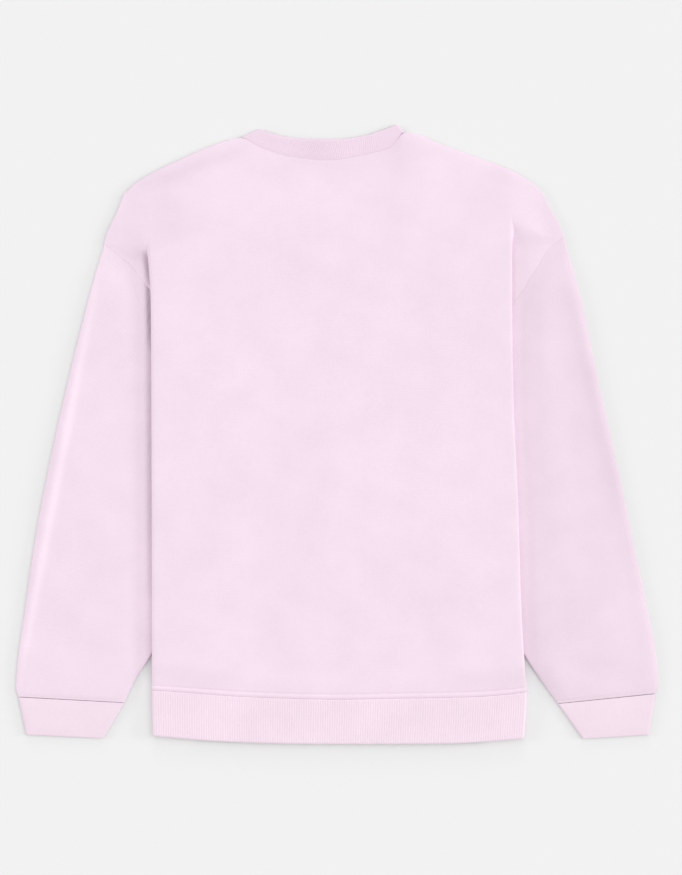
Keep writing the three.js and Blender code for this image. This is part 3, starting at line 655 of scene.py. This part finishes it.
def back_panel():
    """The back: the upper layer of the body's pair, with rounded edges, its lift and its welt."""
    rows = spread(
        SHOULDER_BEND_Y - np.array([0, 0.25, 0.6, 1.1, 1.8, 3, 5, 8]),
        np.arange(172, 263, 3), np.arange(-250, 171, 6), np.arange(-278, -250, 3),
        HEM_SEAM_ROW + np.array([0, 0.15, 0.35, 0.6, 0.9, 1.3, 1.8, 2.4, 3, 3.6, 4.3, 4.9,
                               5.3, 5.6, 5.9, 6.4, 7.1, 8, 10]),
        [SIDES["left"]["arm_top"], SIDES["right"]["arm_top"],
         SIDES["left"]["underarm"], SIDES["right"]["underarm"]],
    )[::-1]
    curves = body_curves(rows, True, 100, [0, 0.25, 0.6, 1.1, 1.8, 3], 8, 8, 8)
    column = rows[:, None]
    top, low = SHOULDER_BEND_Y - column, column - HEM_SEAM_ROW
    below = np.where(column < SIDES["left"]["underarm"], curves["from_flap_edge"], NOT_NEAR)
    thick = thickness((top, SHALLOW), (low, DEEP), (curves["from_edge"], SHALLOW), (below, DEEP))
    y = row_height(column, curves["x"], back_line)
    lift = body_lift(curves["x"], y, column)
    steep = curves["nz"] > 0.7
    welt = hem_welt(low) * steep
    outer = place(curves, rows, back_line, NEAR + thick + welt, lift * steep)
    inner = place(curves, rows, back_line, NEAR + 0 * thick, lift * steep)
    # Painted shade from the table above, with the hem's painted highlight and shade.
    nap_and_painted_shade = creases(curves["x"], y, BODY_PAINTED_SHADE) + hem_painted_light_and_shade(low)
    return shell("back_cloth", outer, inner, flat_places(outer), BODY_CLOTH,
                 present=body_cells(rows, curves), nap_and_painted_shade=nap_and_painted_shade)


def body_cells(rows, curves):
    """Which cells of the body's grid are cloth: the columns outside the flaps end at the
    underarms."""
    cells = np.ones((len(rows) - 1, curves["x"].shape[1] - 1), bool)
    side = curves["side_columns"]
    ends = rows[1:, None]
    cells[:, :side] = ends >= SIDES["left"]["underarm"]
    cells[:, -side:] = ends >= SIDES["right"]["underarm"]
    return cells


def front_panel():
    """The front: the lower layer of the pair, which lies flat on the surface."""
    rows = spread(
        SHOULDER_BEND_Y - np.array([0, 0.3, 0.8, 1.5, 3, 8]),
        np.arange(172, 263, 6), np.arange(-250, 171, 14), np.arange(-278, -250, 6),
        HEM_SEAM_ROW + np.array([0, 0.3, 0.8, 1.5, 3, 8]),
        [SIDES["left"]["arm_top"], SIDES["right"]["arm_top"],
         SIDES["left"]["underarm"], SIDES["right"]["underarm"]],
    )[::-1]
    curves = body_curves(rows, False, 70, [0, 0.4, 1, 2], 5, 6, 5)
    column = rows[:, None]
    below = np.where(column < SIDES["left"]["underarm"], curves["from_flap_edge"], NOT_NEAR)
    thick = thickness((SHOULDER_BEND_Y - column, SHALLOW), (column - HEM_SEAM_ROW, DEEP),
                      (curves["from_edge"], SHALLOW), (below, DEEP))
    outer = place(curves, rows, front_line, -(NEAR + thick))
    inner = place(curves, rows, front_line, -NEAR + 0 * thick)
    return shell("front_cloth", outer, inner, flat_places(outer), BODY_CLOTH,
                 present=body_cells(rows, curves))


# --- Sleeves and cuffs ---
def stadium(points, along, offset, under, turn_steps):
    """A closed loop round a flat pair of layers: over the upper side of the points (columns, 3),
    round one end, back along the lower side at the shares under, and round the other end. offset
    is one distance, or one for each column of the upper side."""
    rows, columns = points.shape[:2]
    offset = np.broadcast_to(offset, (rows, columns))
    up = np.array([0, 0, 1.0])
    over = points + offset[..., None] * up
    at = np.clip(np.array(under) * (columns - 1), 0, columns - 1)
    i = np.minimum(at.astype(int), columns - 2)
    t = (at - i)[None, :, None]
    beneath = lerp(points[:, i], points[:, i + 1], t)
    beneath[..., 2] = FLOOR_LEVEL
    edge = np.minimum(offset[:, :1], FAR)
    beneath = beneath - edge[..., None] * up
    angle = (np.linspace(0, np.pi, turn_steps + 1)[1:-1])[None, :, None]

    def cap(end, radius, outward, angle):
        """The half circle that turns the layer round one end."""
        centre = end[:, None]
        return centre + radius[:, :, None] * (up * np.cos(angle) + outward[:, None] * np.sin(angle))

    first = cap(points[:, -1], offset[:, -1:], along, angle)
    last = cap(points[:, 0], offset[:, :1], -along, angle[:, ::-1])
    return np.concatenate([over, first, beneath[:, ::-1], last], axis=1)


def armhole(name):
    """The armhole seam in plan from the top of the arm to the underarm, as points (many, 2)."""
    side = SIDES[name]
    rows = np.linspace(side["arm_top"], side["underarm"], 161)
    x = side["sign"] * through(side["armhole"])(rows)
    return np.stack([x, row_height(rows, x, back_line)], -1)


def sleeve_pair(name, v, t):
    """The middle of the sleeve's two layers at shares v down and t across (outer edge to inner),
    as points (rows, columns, 3), with the direction across. The rows swing from the slanting
    armhole seam, whose curve fades with the square of what is left, to the cuff's seam."""
    sign = SIDES[name]["sign"]
    outer, inner = SLEEVES[name]["outer"], SLEEVES[name]["inner"]
    seam = armhole(name)
    start, end = seam[0], seam[-1]
    chord = end - start
    shares = (seam - start) @ chord / (chord @ chord)
    bows = seam - start - shares[:, None] * chord
    inset_t = t + FAR * (1 - 2 * t) / np.linalg.norm(chord)
    bow = np.stack([np.interp(inset_t, shares, bows[:, k]) for k in (0, 1)], -1)
    outward = np.array([sign * abs(chord[1]), -abs(chord[0])])
    outward = outward / np.linalg.norm(outward)
    outer_y = lerp(outer[0][0], outer[-1][0], v)
    inner_y = lerp(inner[0][0], inner[-1][0], v)
    source = np.stack([sign * through(outer)(outer_y), outer_y], -1)
    target = np.stack([sign * through(inner)(inner_y), inner_y], -1)
    along = target - source
    along = along / np.linalg.norm(along, axis=-1, keepdims=True)
    inset = (FAR * (1 - 2 * t))[None, :, None]
    plan = lerp(source[:, None], target[:, None], t[None, :, None]) + along[:, None] * inset
    step_out = SEAM * np.clip(1 - v * 60, 0, 1)[:, None, None] * outward
    plan = plan + bow[None] * np.square(1 - v)[:, None, None] + step_out
    level = np.full((*plan.shape[:2], 1), FLOOR_LEVEL)
    return np.concatenate([plan, level], -1), np.concatenate([along, 0 * along[:, :1]], -1)


SLEEVE_CREASES = {
    "left": [
        (-262, 190, -236, 60, 12, 0.3),
    ],
    "right": [
        (228, 200, 250, -170, 15, 1.0),
        (262, 190, 326, -150, 13, 1.0),
        (240, -240, 305, -292, 12, -0.8),
    ],
}
# Painted shade (above 0) and painted highlight (below 0) on the sleeves, as lines like those of the
# creases: darker near the arm's top, beside the body's folds, along the right sleeve's outer edge
# and at its lower inner corner, lighter along the left sleeve's outer edge and in bands down the
# right sleeve.
SLEEVE_PAINTED_LIGHT_AND_SHADE = {
    "left": [
        (-255, 205, -216, 190, 12, 0.02),
        (-216, 200, -212.5, 96, 2.8, 0.36),
        (-214, 190, -212.2, -185, 4, 0.2),
        (-264, 225, -365, -300, 5, -0.12),
    ],
    "right": [
        (262, 170, 346, -190, 9, 0.075),
        (202, 180, 216, -200, 16, -0.07),
        (247, 120, 275, -190, 12, -0.02),
        (230, -264, 262, -308, 9, 0.06),
        (318, -130, 330, -300, 22, -0.03),
    ],
}


def sleeve_lift(name, plan, v, t):
    """Air in the sleeve: a low pillow, round at the outer edge and at the inner edge below the
    body, level by the body's fold that lies on it, and coming softly down to the cuff."""
    x, y = plan[..., 0], plan[..., 1]
    sign = SIDES[name]["sign"]
    width = np.linalg.norm(plan[:, -1] - plan[:, 0], axis=-1)[:, None]
    clear = smooth((sign * (x - fold_edge[name](y)) - 4) / 32)
    across = np.minimum(clear, rounded(width * (1 - t), 17)) * rounded(width * t, 14)
    length = lerp(*SLEEVE_LENGTHS, t)[None]
    above_cuff = (1 - v[:, None]) * length
    pouch = smooth(above_cuff / 7) * lerp(0.3, 1, smooth(above_cuff / 50))
    uneven = 1 + 0.12 * billow(x, y, 95, 11 if name == "left" else 17)
    return (across * smooth(v[:, None] * length / 32) * pouch
            * (2.6 * uneven + creases(x, y, SLEEVE_CREASES[name])))


def sleeve_skin(name, v, t):
    """The middle of a sleeve's pair of layers raised by its air, as points (rows, columns, 3),
    with the direction across."""
    points, along = sleeve_pair(name, v, t)
    points[..., 2] = points[..., 2] + sleeve_lift(name, points, v, t)
    return points, along


CUFF_GROOVE = {"left": 0.06, "right": 0.15}


def sleeve(name, material):
    """A sleeve: a flat tube, raised by its lift above, flat on the surface below, rounded at both
    of its seams, with a fine groove of stitches above the cuff."""
    near = np.array([0, 0.3, 0.7, 1.2, 2, 3.2])
    length = 450
    v = spread(near / length, np.linspace(4 / length, 1 - 9 / length, 96),
               1 - np.array([0, 0.3, 0.7, 1.2, 2, 2.6, 3, 3.4, 3.8, 4.4, 5.4, 7]) / length)
    t = (1 - np.cos(np.pi * np.linspace(0, 1, 47))) / 2
    t = lerp(t, np.linspace(0, 1, 47), 0.6)
    raised, along = sleeve_skin(name, v, t)
    down = v[:, None] * lerp(*SLEEVE_LENGTHS, t)
    up = (1 - v[:, None]) * lerp(*SLEEVE_LENGTHS, t)
    thick = thickness((down, SHALLOW), (up, FAINT))
    groove = CUFF_GROOVE[name] * bell((up - STITCH_ABOVE_CUFF) / 0.7)
    under = np.linspace(0, 1, 15)
    outer = stadium(raised, along, NEAR + thick - groove, under, 8)
    inner = stadium(raised, along, NEAR + 0 * thick, under, 8)
    # The sleeve's painted shade and painted highlight from the table above.
    nap_and_painted_shade = creases(outer[..., 0], outer[..., 1], SLEEVE_PAINTED_LIGHT_AND_SHADE[name])
    return shell(f"sleeve_{name}_cloth", outer, inner, flat_places(outer), material, ring=True,
                 nap_and_painted_shade=nap_and_painted_shade)


def rib_relief(phase):
    """Round ribs with narrow valleys: the sine of half a turn for each rib, made fuller."""
    return np.abs(np.sin(np.pi * phase)) ** 0.7


def cuff(name):
    """A cuff: a short flat ribbed tube between the sleeve's seam and the wrist."""
    sign = SIDES[name]["sign"]
    data = SLEEVES[name]
    (outer_y, outer_x), (inner_y, inner_x) = data["outer"][-1], data["inner"][-1]
    seam = np.array([[outer_x, outer_y - SEAM], [inner_x, inner_y - SEAM]])
    wrist = np.array([data["wrist_outer"], data["wrist_inner"]])
    ribs = round((data["wrist_outer"][0] - data["wrist_inner"][0]) / RIB_PITCH)
    t = np.linspace(0, 1, 6 * ribs + 1)
    depth = CUFF_DEPTH
    v = spread(np.array([0, 0.3, 0.7, 1.2, 2, 3.5]) / depth, np.linspace(0.12, 0.9, 7),
               1 - np.array([0, 0.25, 0.6, 1.1, 1.8]) / depth)
    ends = lerp(seam[None], wrist[None], v[:, None, None]) * np.array([sign, 1])
    along = ends[:, 1] - ends[:, 0]
    along = along / np.linalg.norm(along, axis=-1, keepdims=True)
    plan = lerp(ends[:, :1], ends[:, 1:], t[None, :, None])
    plan = plan + along[:, None] * (FAR * (1 - 2 * t))[None, :, None]
    level = np.full((*plan.shape[:2], 1), FLOOR_LEVEL)
    points = np.concatenate([plan, level], -1)
    along = np.concatenate([along, 0 * along[:, :1]], -1)
    down = v[:, None] * depth
    thick = thickness((down, FAINT), (depth - down, DEEP))
    pillow = 0.8 * rounded(t * 90, 30) * rounded((1 - t) * 90, 30) * smooth(down / 14)
    pillow = pillow * smooth((depth - down) / 10)
    points[..., 2] = points[..., 2] + pillow
    ribbing = 0.12 * rib_relief(t * ribs) * smooth(down / 3) * smooth((depth - down) / 2)
    ribbing = ribbing * rounded(t * ribs, 2) * rounded((1 - t) * ribs, 2)
    under = np.linspace(0, 1, 21)
    outer = stadium(points, along, NEAR + thick + ribbing, under, 8)
    inner = stadium(points, along, NEAR + 0 * ribbing, under, 8)
    return shell(f"cuff_{name}_cloth", outer, inner, flat_places(outer), CUFF_CLOTH, ring=True)


# --- Hem band ---
def hem_band():
    """The hem band: one ribbed ring that follows the body's folds. Its upper side runs over the
    turned-under ends and the folds, and the lower side back beneath them, flat."""
    depth = HEM_SEAM_ROW - SEAM - HEM_BOTTOM_ROW
    down = spread([0, 0.25, 0.6, 1, 1.6, 2.6, 4.5], np.linspace(8, depth - 5, 8),
                  depth - np.array([0, 0.25, 0.6, 1.1, 1.8, 3]))
    rows = HEM_SEAM_ROW - SEAM - down
    paths = {}
    for layer, back in (("upper", True), ("lower", False)):
        curves = body_curves(rows, back, 60, [0, 1, 2], 1, 14, 10)
        keep = slice(curves["side_columns"], -curves["side_columns"])
        paths[layer] = {k: curves[k][:, keep] for k in ("x", "z", "nx", "nz")}

    def side(layer, at):
        """Points and normals of one layer at shares of its length from left to right."""
        path = paths[layer]
        steps = np.hypot(np.diff(path["x"], axis=1), np.diff(path["z"], axis=1))
        length = np.concatenate([np.zeros((len(rows), 1)), np.cumsum(steps, axis=1)], axis=1)
        x, z, nx, nz = (
            np.stack([np.interp(at * run[-1], run, row) for run, row in zip(length, path[k])])
            for k in ("x", "z", "nx", "nz"))
        size = np.hypot(nx, nz)
        y = row_height(rows[:, None], x, back_line)
        return np.stack([x, y, z], -1), np.stack([nx / size, 0 * nx, nz / size], -1)

    top = paths["upper"]
    total = np.hypot(np.diff(top["x"], axis=1), np.diff(top["z"], axis=1)).sum(axis=1).mean()
    ribs = round(float(total) / RIB_PITCH)
    share = np.linspace(0, 1, 6 * ribs + 1)

    def ring(ribs_up, offset):
        """The whole loop at an offset from its middle, with ribs on the upper side."""
        upper, up = side("upper", share)
        lower, low = side("lower", np.linspace(0, 1, 181))
        amount = (offset + ribs_up * smooth(up[..., 2] / 0.4))[..., None]
        over = upper + up * amount
        beneath = lower - low * offset[..., None]
        angle = np.linspace(0, np.pi, 9)[None, 1:-1, None]

        def cap(point, normal, outward, radius):
            """The half circle that turns the band round one end."""
            return point[:, None] + radius[:, :, None] * (
                normal[:, None] * np.cos(angle) + outward * np.sin(angle))

        to_right = np.array([1.0, 0, 0])
        first = cap(upper[:, -1], up[:, -1], -to_right, offset)
        last = cap(upper[:, 0], -up[:, 0], to_right, offset)
        return np.concatenate([over, first, beneath[:, ::-1], last], axis=1)

    below, above = down[:, None], (depth - down)[:, None]
    thick = thickness((below, DEEP), (above, DEEP))
    ribbing = 0.5 * rib_relief(share * ribs)[None] * smooth(below / 2.2) * smooth(above / 2)
    free = smooth((share * ribs - 1) / 2) * smooth((ribs - 1 - share * ribs) / 2)
    outer = ring(ribbing * free, NEAR + thick)
    inner = ring(0 * ribbing, NEAR + 0 * thick)
    return shell("hem_band_cloth", outer, inner, flat_places(outer), RIB_CLOTH, ring=True)


# --- Collar ---
# One over the share of the neck's width in which the band comes to lie along its seam line
TIGHT, LOOSE = 60, 12


def collar():
    """The neckband: a ribbed band round the neck, from its seam (share 0) to its free folded edge
    (share 1), over the back's neckline and down round the front's."""
    back_edge = through(NECK_EDGE)
    shrink = 1 - COLLAR_INSET / NECK_HALF
    edge_left, edge_right = np.array(NECK_EDGE[0]), np.array(NECK_EDGE[-1])

    def corner_y(x):
        """The straight line between the neck's two corners."""
        return lerp(NECK_LEFT_Y, NECK_RIGHT_Y, (x - NECK_LEFT) / (2 * NECK_HALF))

    def seam(line, t, hugging):
        """The band's seam edge in plan: the neck's line, drawn in a little at its corners."""
        x = NECK_MIDDLE + (t - 0.5) * 2 * NECK_HALF
        in_x = NECK_MIDDLE + (x - NECK_MIDDLE) * shrink
        shrunk = corner_y(in_x) + (line(x) - corner_y(x)) * shrink
        hug = smooth(np.minimum(t, 1 - t) * hugging)
        return np.stack([in_x, lerp(shrunk, line(in_x), hug) + SEAM], -1)

    def edge_behind(t):
        """The band's free edge at the back."""
        x = lerp(edge_left[0], edge_right[0], t)
        return np.stack([x, back_edge(x)], -1)

    def edge_before(t):
        """The band's free edge at the front, half an ellipse that hangs from the ends."""
        drop = NECK_FRONT_DROP - COLLAR_WIDTH + (edge_right[1] - NECK_RIGHT_Y) / 2
        y = lerp(edge_left[1], edge_right[1], t) - drop * np.sin(np.arccos(1 - 2 * t))
        return np.stack([lerp(edge_left[0], edge_right[0], t), y], -1)

    half = PITCH / 2
    ribs = round(2 * NECK_HALF / RIB_PITCH)
    t_back = np.linspace(0, 1, 6 * ribs + 1)
    t_front = (1 + np.cos(np.pi * np.linspace(0, 1, 73))) / 2
    turns = np.linspace(0, np.pi, 9)[1:-1]
    up = np.array([0, 0, 1.0])

    def turn(t, angles):
        """The stations where the band turns over at one end."""
        at_seam = seam(back_line, np.array([t]), TIGHT)[0]
        at_edge = edge_behind(np.array([t]))[0]
        crease = (at_edge - at_seam) / np.linalg.norm(at_edge - at_seam)
        side = 1 if t == 1 else -1
        out = np.array([side * crease[1], -side * crease[0], 0])
        normal = up * np.cos(angles)[:, None] + out * np.sin(angles)[:, None]
        shift = out * (half * np.sin(angles))[:, None]
        height = FLOOR_LEVEL + half * np.cos(angles)
        count = len(angles)
        return (np.tile(at_seam, (count, 1)), np.tile(at_edge, (count, 1)), normal, height, shift)

    count, count_front = len(t_back), len(t_front)
    behind = (seam(back_line, t_back, TIGHT), edge_behind(t_back), np.tile(up, (count, 1)),
              np.full(count, FLOOR_LEVEL + half), np.zeros((count, 3)))
    front_seam = seam(front_line, t_front, LOOSE)
    front_seam[[0, -1]] = seam(back_line, t_front[[0, -1]], TIGHT)
    before = (front_seam, edge_before(t_front), np.tile(-up, (count_front, 1)),
              np.full(count_front, FLOOR_LEVEL - half), np.zeros((count_front, 3)))
    stations = [behind, turn(1, turns), before, turn(0, np.pi - turns)]
    seams, edges, normals, heights, shifts = (np.concatenate(parts) for parts in zip(*stations))
    ribbed = np.zeros(len(seams))
    fade = smooth(t_back * 9) * smooth((1 - t_back) * 6)
    fade = fade * (0.5 + 0.5 * bell((t_back - 0.5) / 0.25))
    ribbed[:count] = rib_relief(t_back * ribs) * fade
    w = spread(np.array([0, 0.25, 0.6, 1.1, 1.8, 3]) / COLLAR_WIDTH, np.linspace(0.2, 0.85, 6),
               1 - np.array([0, 0.2, 0.5, 0.9, 1.5]) / COLLAR_WIDTH)
    plan = lerp(seams[None], edges[None], w[:, None, None])
    height = np.broadcast_to(heights[None, :, None], (*plan.shape[:2], 1))
    middle = np.concatenate([plan, height], -1) + shifts[None]
    width = np.linalg.norm(edges - seams, axis=-1)[None]
    from_seam, from_edge = w[:, None] * width, (1 - w[:, None]) * width
    thick = thickness((from_seam, FAINT), (from_edge, DEEP)) / 2
    band = smooth(from_seam / 3) * smooth(from_edge / 2.5)
    outer = middle + normals[None] * (thick + 0.55 * ribbed[None] * band)[..., None]
    inner = middle - normals[None] * thick[..., None]
    flat = flat_places(outer)
    return shell("collar_cloth", outer, inner, flat, COLLAR_CLOTH, ring=True)


# --- Stitches ---
def stitches(name, path, up):
    """A row of stitches along a path of points (many, 3) whose normals are up: at every pitch a
    small six-sided capsule along the path, half sunk in the cloth. Its four rings of corners are
    the centre, plus a step along, plus radius times (side cosine plus up sine)."""
    run = np.concatenate([[0], np.cumsum(np.linalg.norm(np.diff(path, axis=0), axis=-1))])
    at = np.arange(STITCH_PITCH, run[-1] - STITCH_PITCH, STITCH_PITCH)

    def sample(values, places):
        """The values at distances along the path."""
        return np.stack([np.interp(places, run, values[:, k]) for k in range(3)], -1)

    centre, normal = sample(path, at), sample(up, at)
    tangent = sample(path, at + 0.5) - sample(path, at - 0.5)
    tangent = tangent / np.linalg.norm(tangent, axis=-1, keepdims=True)
    side = np.cross(normal, tangent)
    half = STITCH_LENGTH / 2
    steps = np.array([-half, STITCH_RADIUS - half, half - STITCH_RADIUS, half])
    radii = STITCH_RADIUS * np.array([0.45, 1, 1, 0.45])
    angle = np.arange(6) * np.pi / 3
    round_part = (side[:, None, None] * np.cos(angle)[:, None]
                  + normal[:, None, None] * np.sin(angle)[:, None])
    points = (centre[:, None, None] + tangent[:, None, None] * steps[:, None, None]
              + round_part * radii[:, None, None])
    k, j = np.meshgrid(np.arange(3), np.arange(6), indexing="ij")
    a, b = 6 * k + j, 6 * k + (j + 1) % 6
    capsule = np.concatenate([
        np.stack([a, a + 6, b + 6, b], -1).reshape(-1, 4),
        [[0, 1, 2, 3], [0, 3, 4, 5], [21, 20, 19, 18], [23, 22, 21, 18]],
    ])
    quads = (capsule[None] + 24 * np.arange(len(at))[:, None, None]).reshape(-1, 4)
    points = points.reshape(-1, 3)
    return make_mesh(name, points, quads, points[quads][..., :2], THREAD, np.zeros(len(points)))


def hem_stitches():
    """The row of stitches that holds down the hem's seam allowance, on the back's outer face."""
    row = np.array([HEM_SEAM_ROW + STITCH_ABOVE_HEM])
    curves = body_curves(row, True, 200, [0, 1, 2], 1, 8, 4)
    column = np.arange(curves["x"].shape[1])
    side = curves["side_columns"]
    seen = (curves["nz"][0] > 0.5) & (column >= side) & (column < len(column) - side)
    path = place(curves, row, back_line, NEAR + WALL + hem_welt(STITCH_ABOVE_HEM))[0, seen]
    up = np.stack([curves["nx"][0], 0 * column, curves["nz"][0]], -1)[seen]
    return stitches("hem_stitches", path, up)


def cuff_stitches(name):
    """The row of stitches above a cuff, on the sleeve's outer face. It runs at a share down the
    sleeve that changes across, between the first and the last of two cross rows."""
    t = np.linspace(0.02, 0.98, 121)
    down = 1 - STITCH_ABOVE_CUFF / lerp(*SLEEVE_LENGTHS, t)
    points, _ = sleeve_skin(name, down[[0, -1]], t)
    path = lerp(points[0], points[1], ((down - down[0]) / (down[-1] - down[0]))[:, None])
    path[:, 2] = path[:, 2] + NEAR + WALL - CUFF_GROOVE[name]
    return stitches(f"cuff_stitches_{name}", path, np.tile([0, 0, 1.0], (len(path), 1)))


# --- Floor and light ---
def studio():
    """A pale floor, an even white surround, and soft lamps from above and from low at the sides."""
    half = 6.0
    floor_mesh = bpy.data.meshes.new("floor")
    corners = [(-half, -half, 0), (half, -half, 0), (half, half, 0), (-half, half, 0)]
    floor_mesh.from_pydata([Vector(c) - Vector((0, 0, 0.0002)) for c in corners], [],
                           [(0, 1, 2, 3)])
    floor = bpy.data.objects.new("floor", floor_mesh)
    bpy.context.scene.collection.objects.link(floor)
    paper = bpy.data.materials.new("floor_paper")
    paper.use_nodes = True
    shader = paper.node_tree.nodes["Principled BSDF"]
    shader.inputs["Roughness"].default_value = 0.9
    shader.inputs["Specular IOR Level"].default_value = 0.1
    shader.inputs["Base Color"].default_value = srgb(*[FLOOR_TONE] * 3)
    floor_mesh.materials.append(paper)

    world = bpy.data.worlds.new("surround")
    bpy.context.scene.world = world
    world.use_nodes = True
    background = world.node_tree.nodes["Background"]
    background.inputs["Color"].default_value = (1, 1, 1, 1)
    background.inputs["Strength"].default_value = SURROUND

    for name, toward, share, angle in LAMPS:
        lamp_data = bpy.data.lights.new(name, "SUN")
        lamp_data.energy = share * np.pi / Vector(toward).normalized().z
        lamp_data.angle = np.radians(angle)
        lamp = bpy.data.objects.new(name, lamp_data)
        lamp.rotation_euler = Vector(toward).to_track_quat("Z", "Y").to_euler()
        bpy.context.scene.collection.objects.link(lamp)
    bpy.context.scene.view_settings.view_transform = "Standard"


FLOOR_TONE = 232
SURROUND = 0.62
LAMPS = [
    # name, direction it shines from, the light it adds on the floor, spread in degrees
    ("overhead", (0.0, 0.0, 1.0), 0.04, 60),
    ("top_softbox", (0.1, 0.8, 1.0), 0.07, 50),
    ("right_softbox", (0.9, 0.0, 0.9), 0.16, 36),
    ("left_softbox", (-0.9, 0.0, 0.9), 0.05, 40),
    ("low_right", (1.0, 0.1, 0.25), 0.07, 16),
    ("low_left", (-1.0, 0.1, 0.3), 0.06, 16),
    ("low_top", (0.0, 1.0, 0.27), 0.03, 16),
]

# --- The garment ---
PIECES = [
    # piece, node and sheet: width and length of the cut's rectangle and its area, in metres
    (back_panel(), "back_panel", "jersey", (0.60, 0.66), 0.33, ["front_panel"]),
    (front_panel(), "front_panel", "jersey", (0.60, 0.66), 0.32, ["floor"]),
    (sleeve("left", LEFT_CLOTH), "sleeve_left", "jersey", (0.42, 0.53), 0.16, ["floor"]),
    (sleeve("right", RIGHT_SLEEVE_SHADED_CLOTH), "sleeve_right", "jersey", (0.42, 0.53), 0.16, ["floor"]),
    (cuff("left"), "cuff_left", "ribbing", (0.21, 0.046), 0.0095, ["floor"]),
    (cuff("right"), "cuff_right", "ribbing", (0.2, 0.046), 0.009, ["floor"]),
    (collar(), "collar", "ribbing", (0.46, 0.024), 0.0095, ["front_panel"]),
    (hem_band(), "hem_band", "ribbing", (1.08, 0.054), 0.058, ["floor"]),
]
for row in (hem_stitches(), cuff_stitches("left"), cuff_stitches("right")):
    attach(row, "root")
studio()
for piece, node, finish, flat, area, rests_on in PIECES:
    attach(piece, "root")
    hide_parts(node)
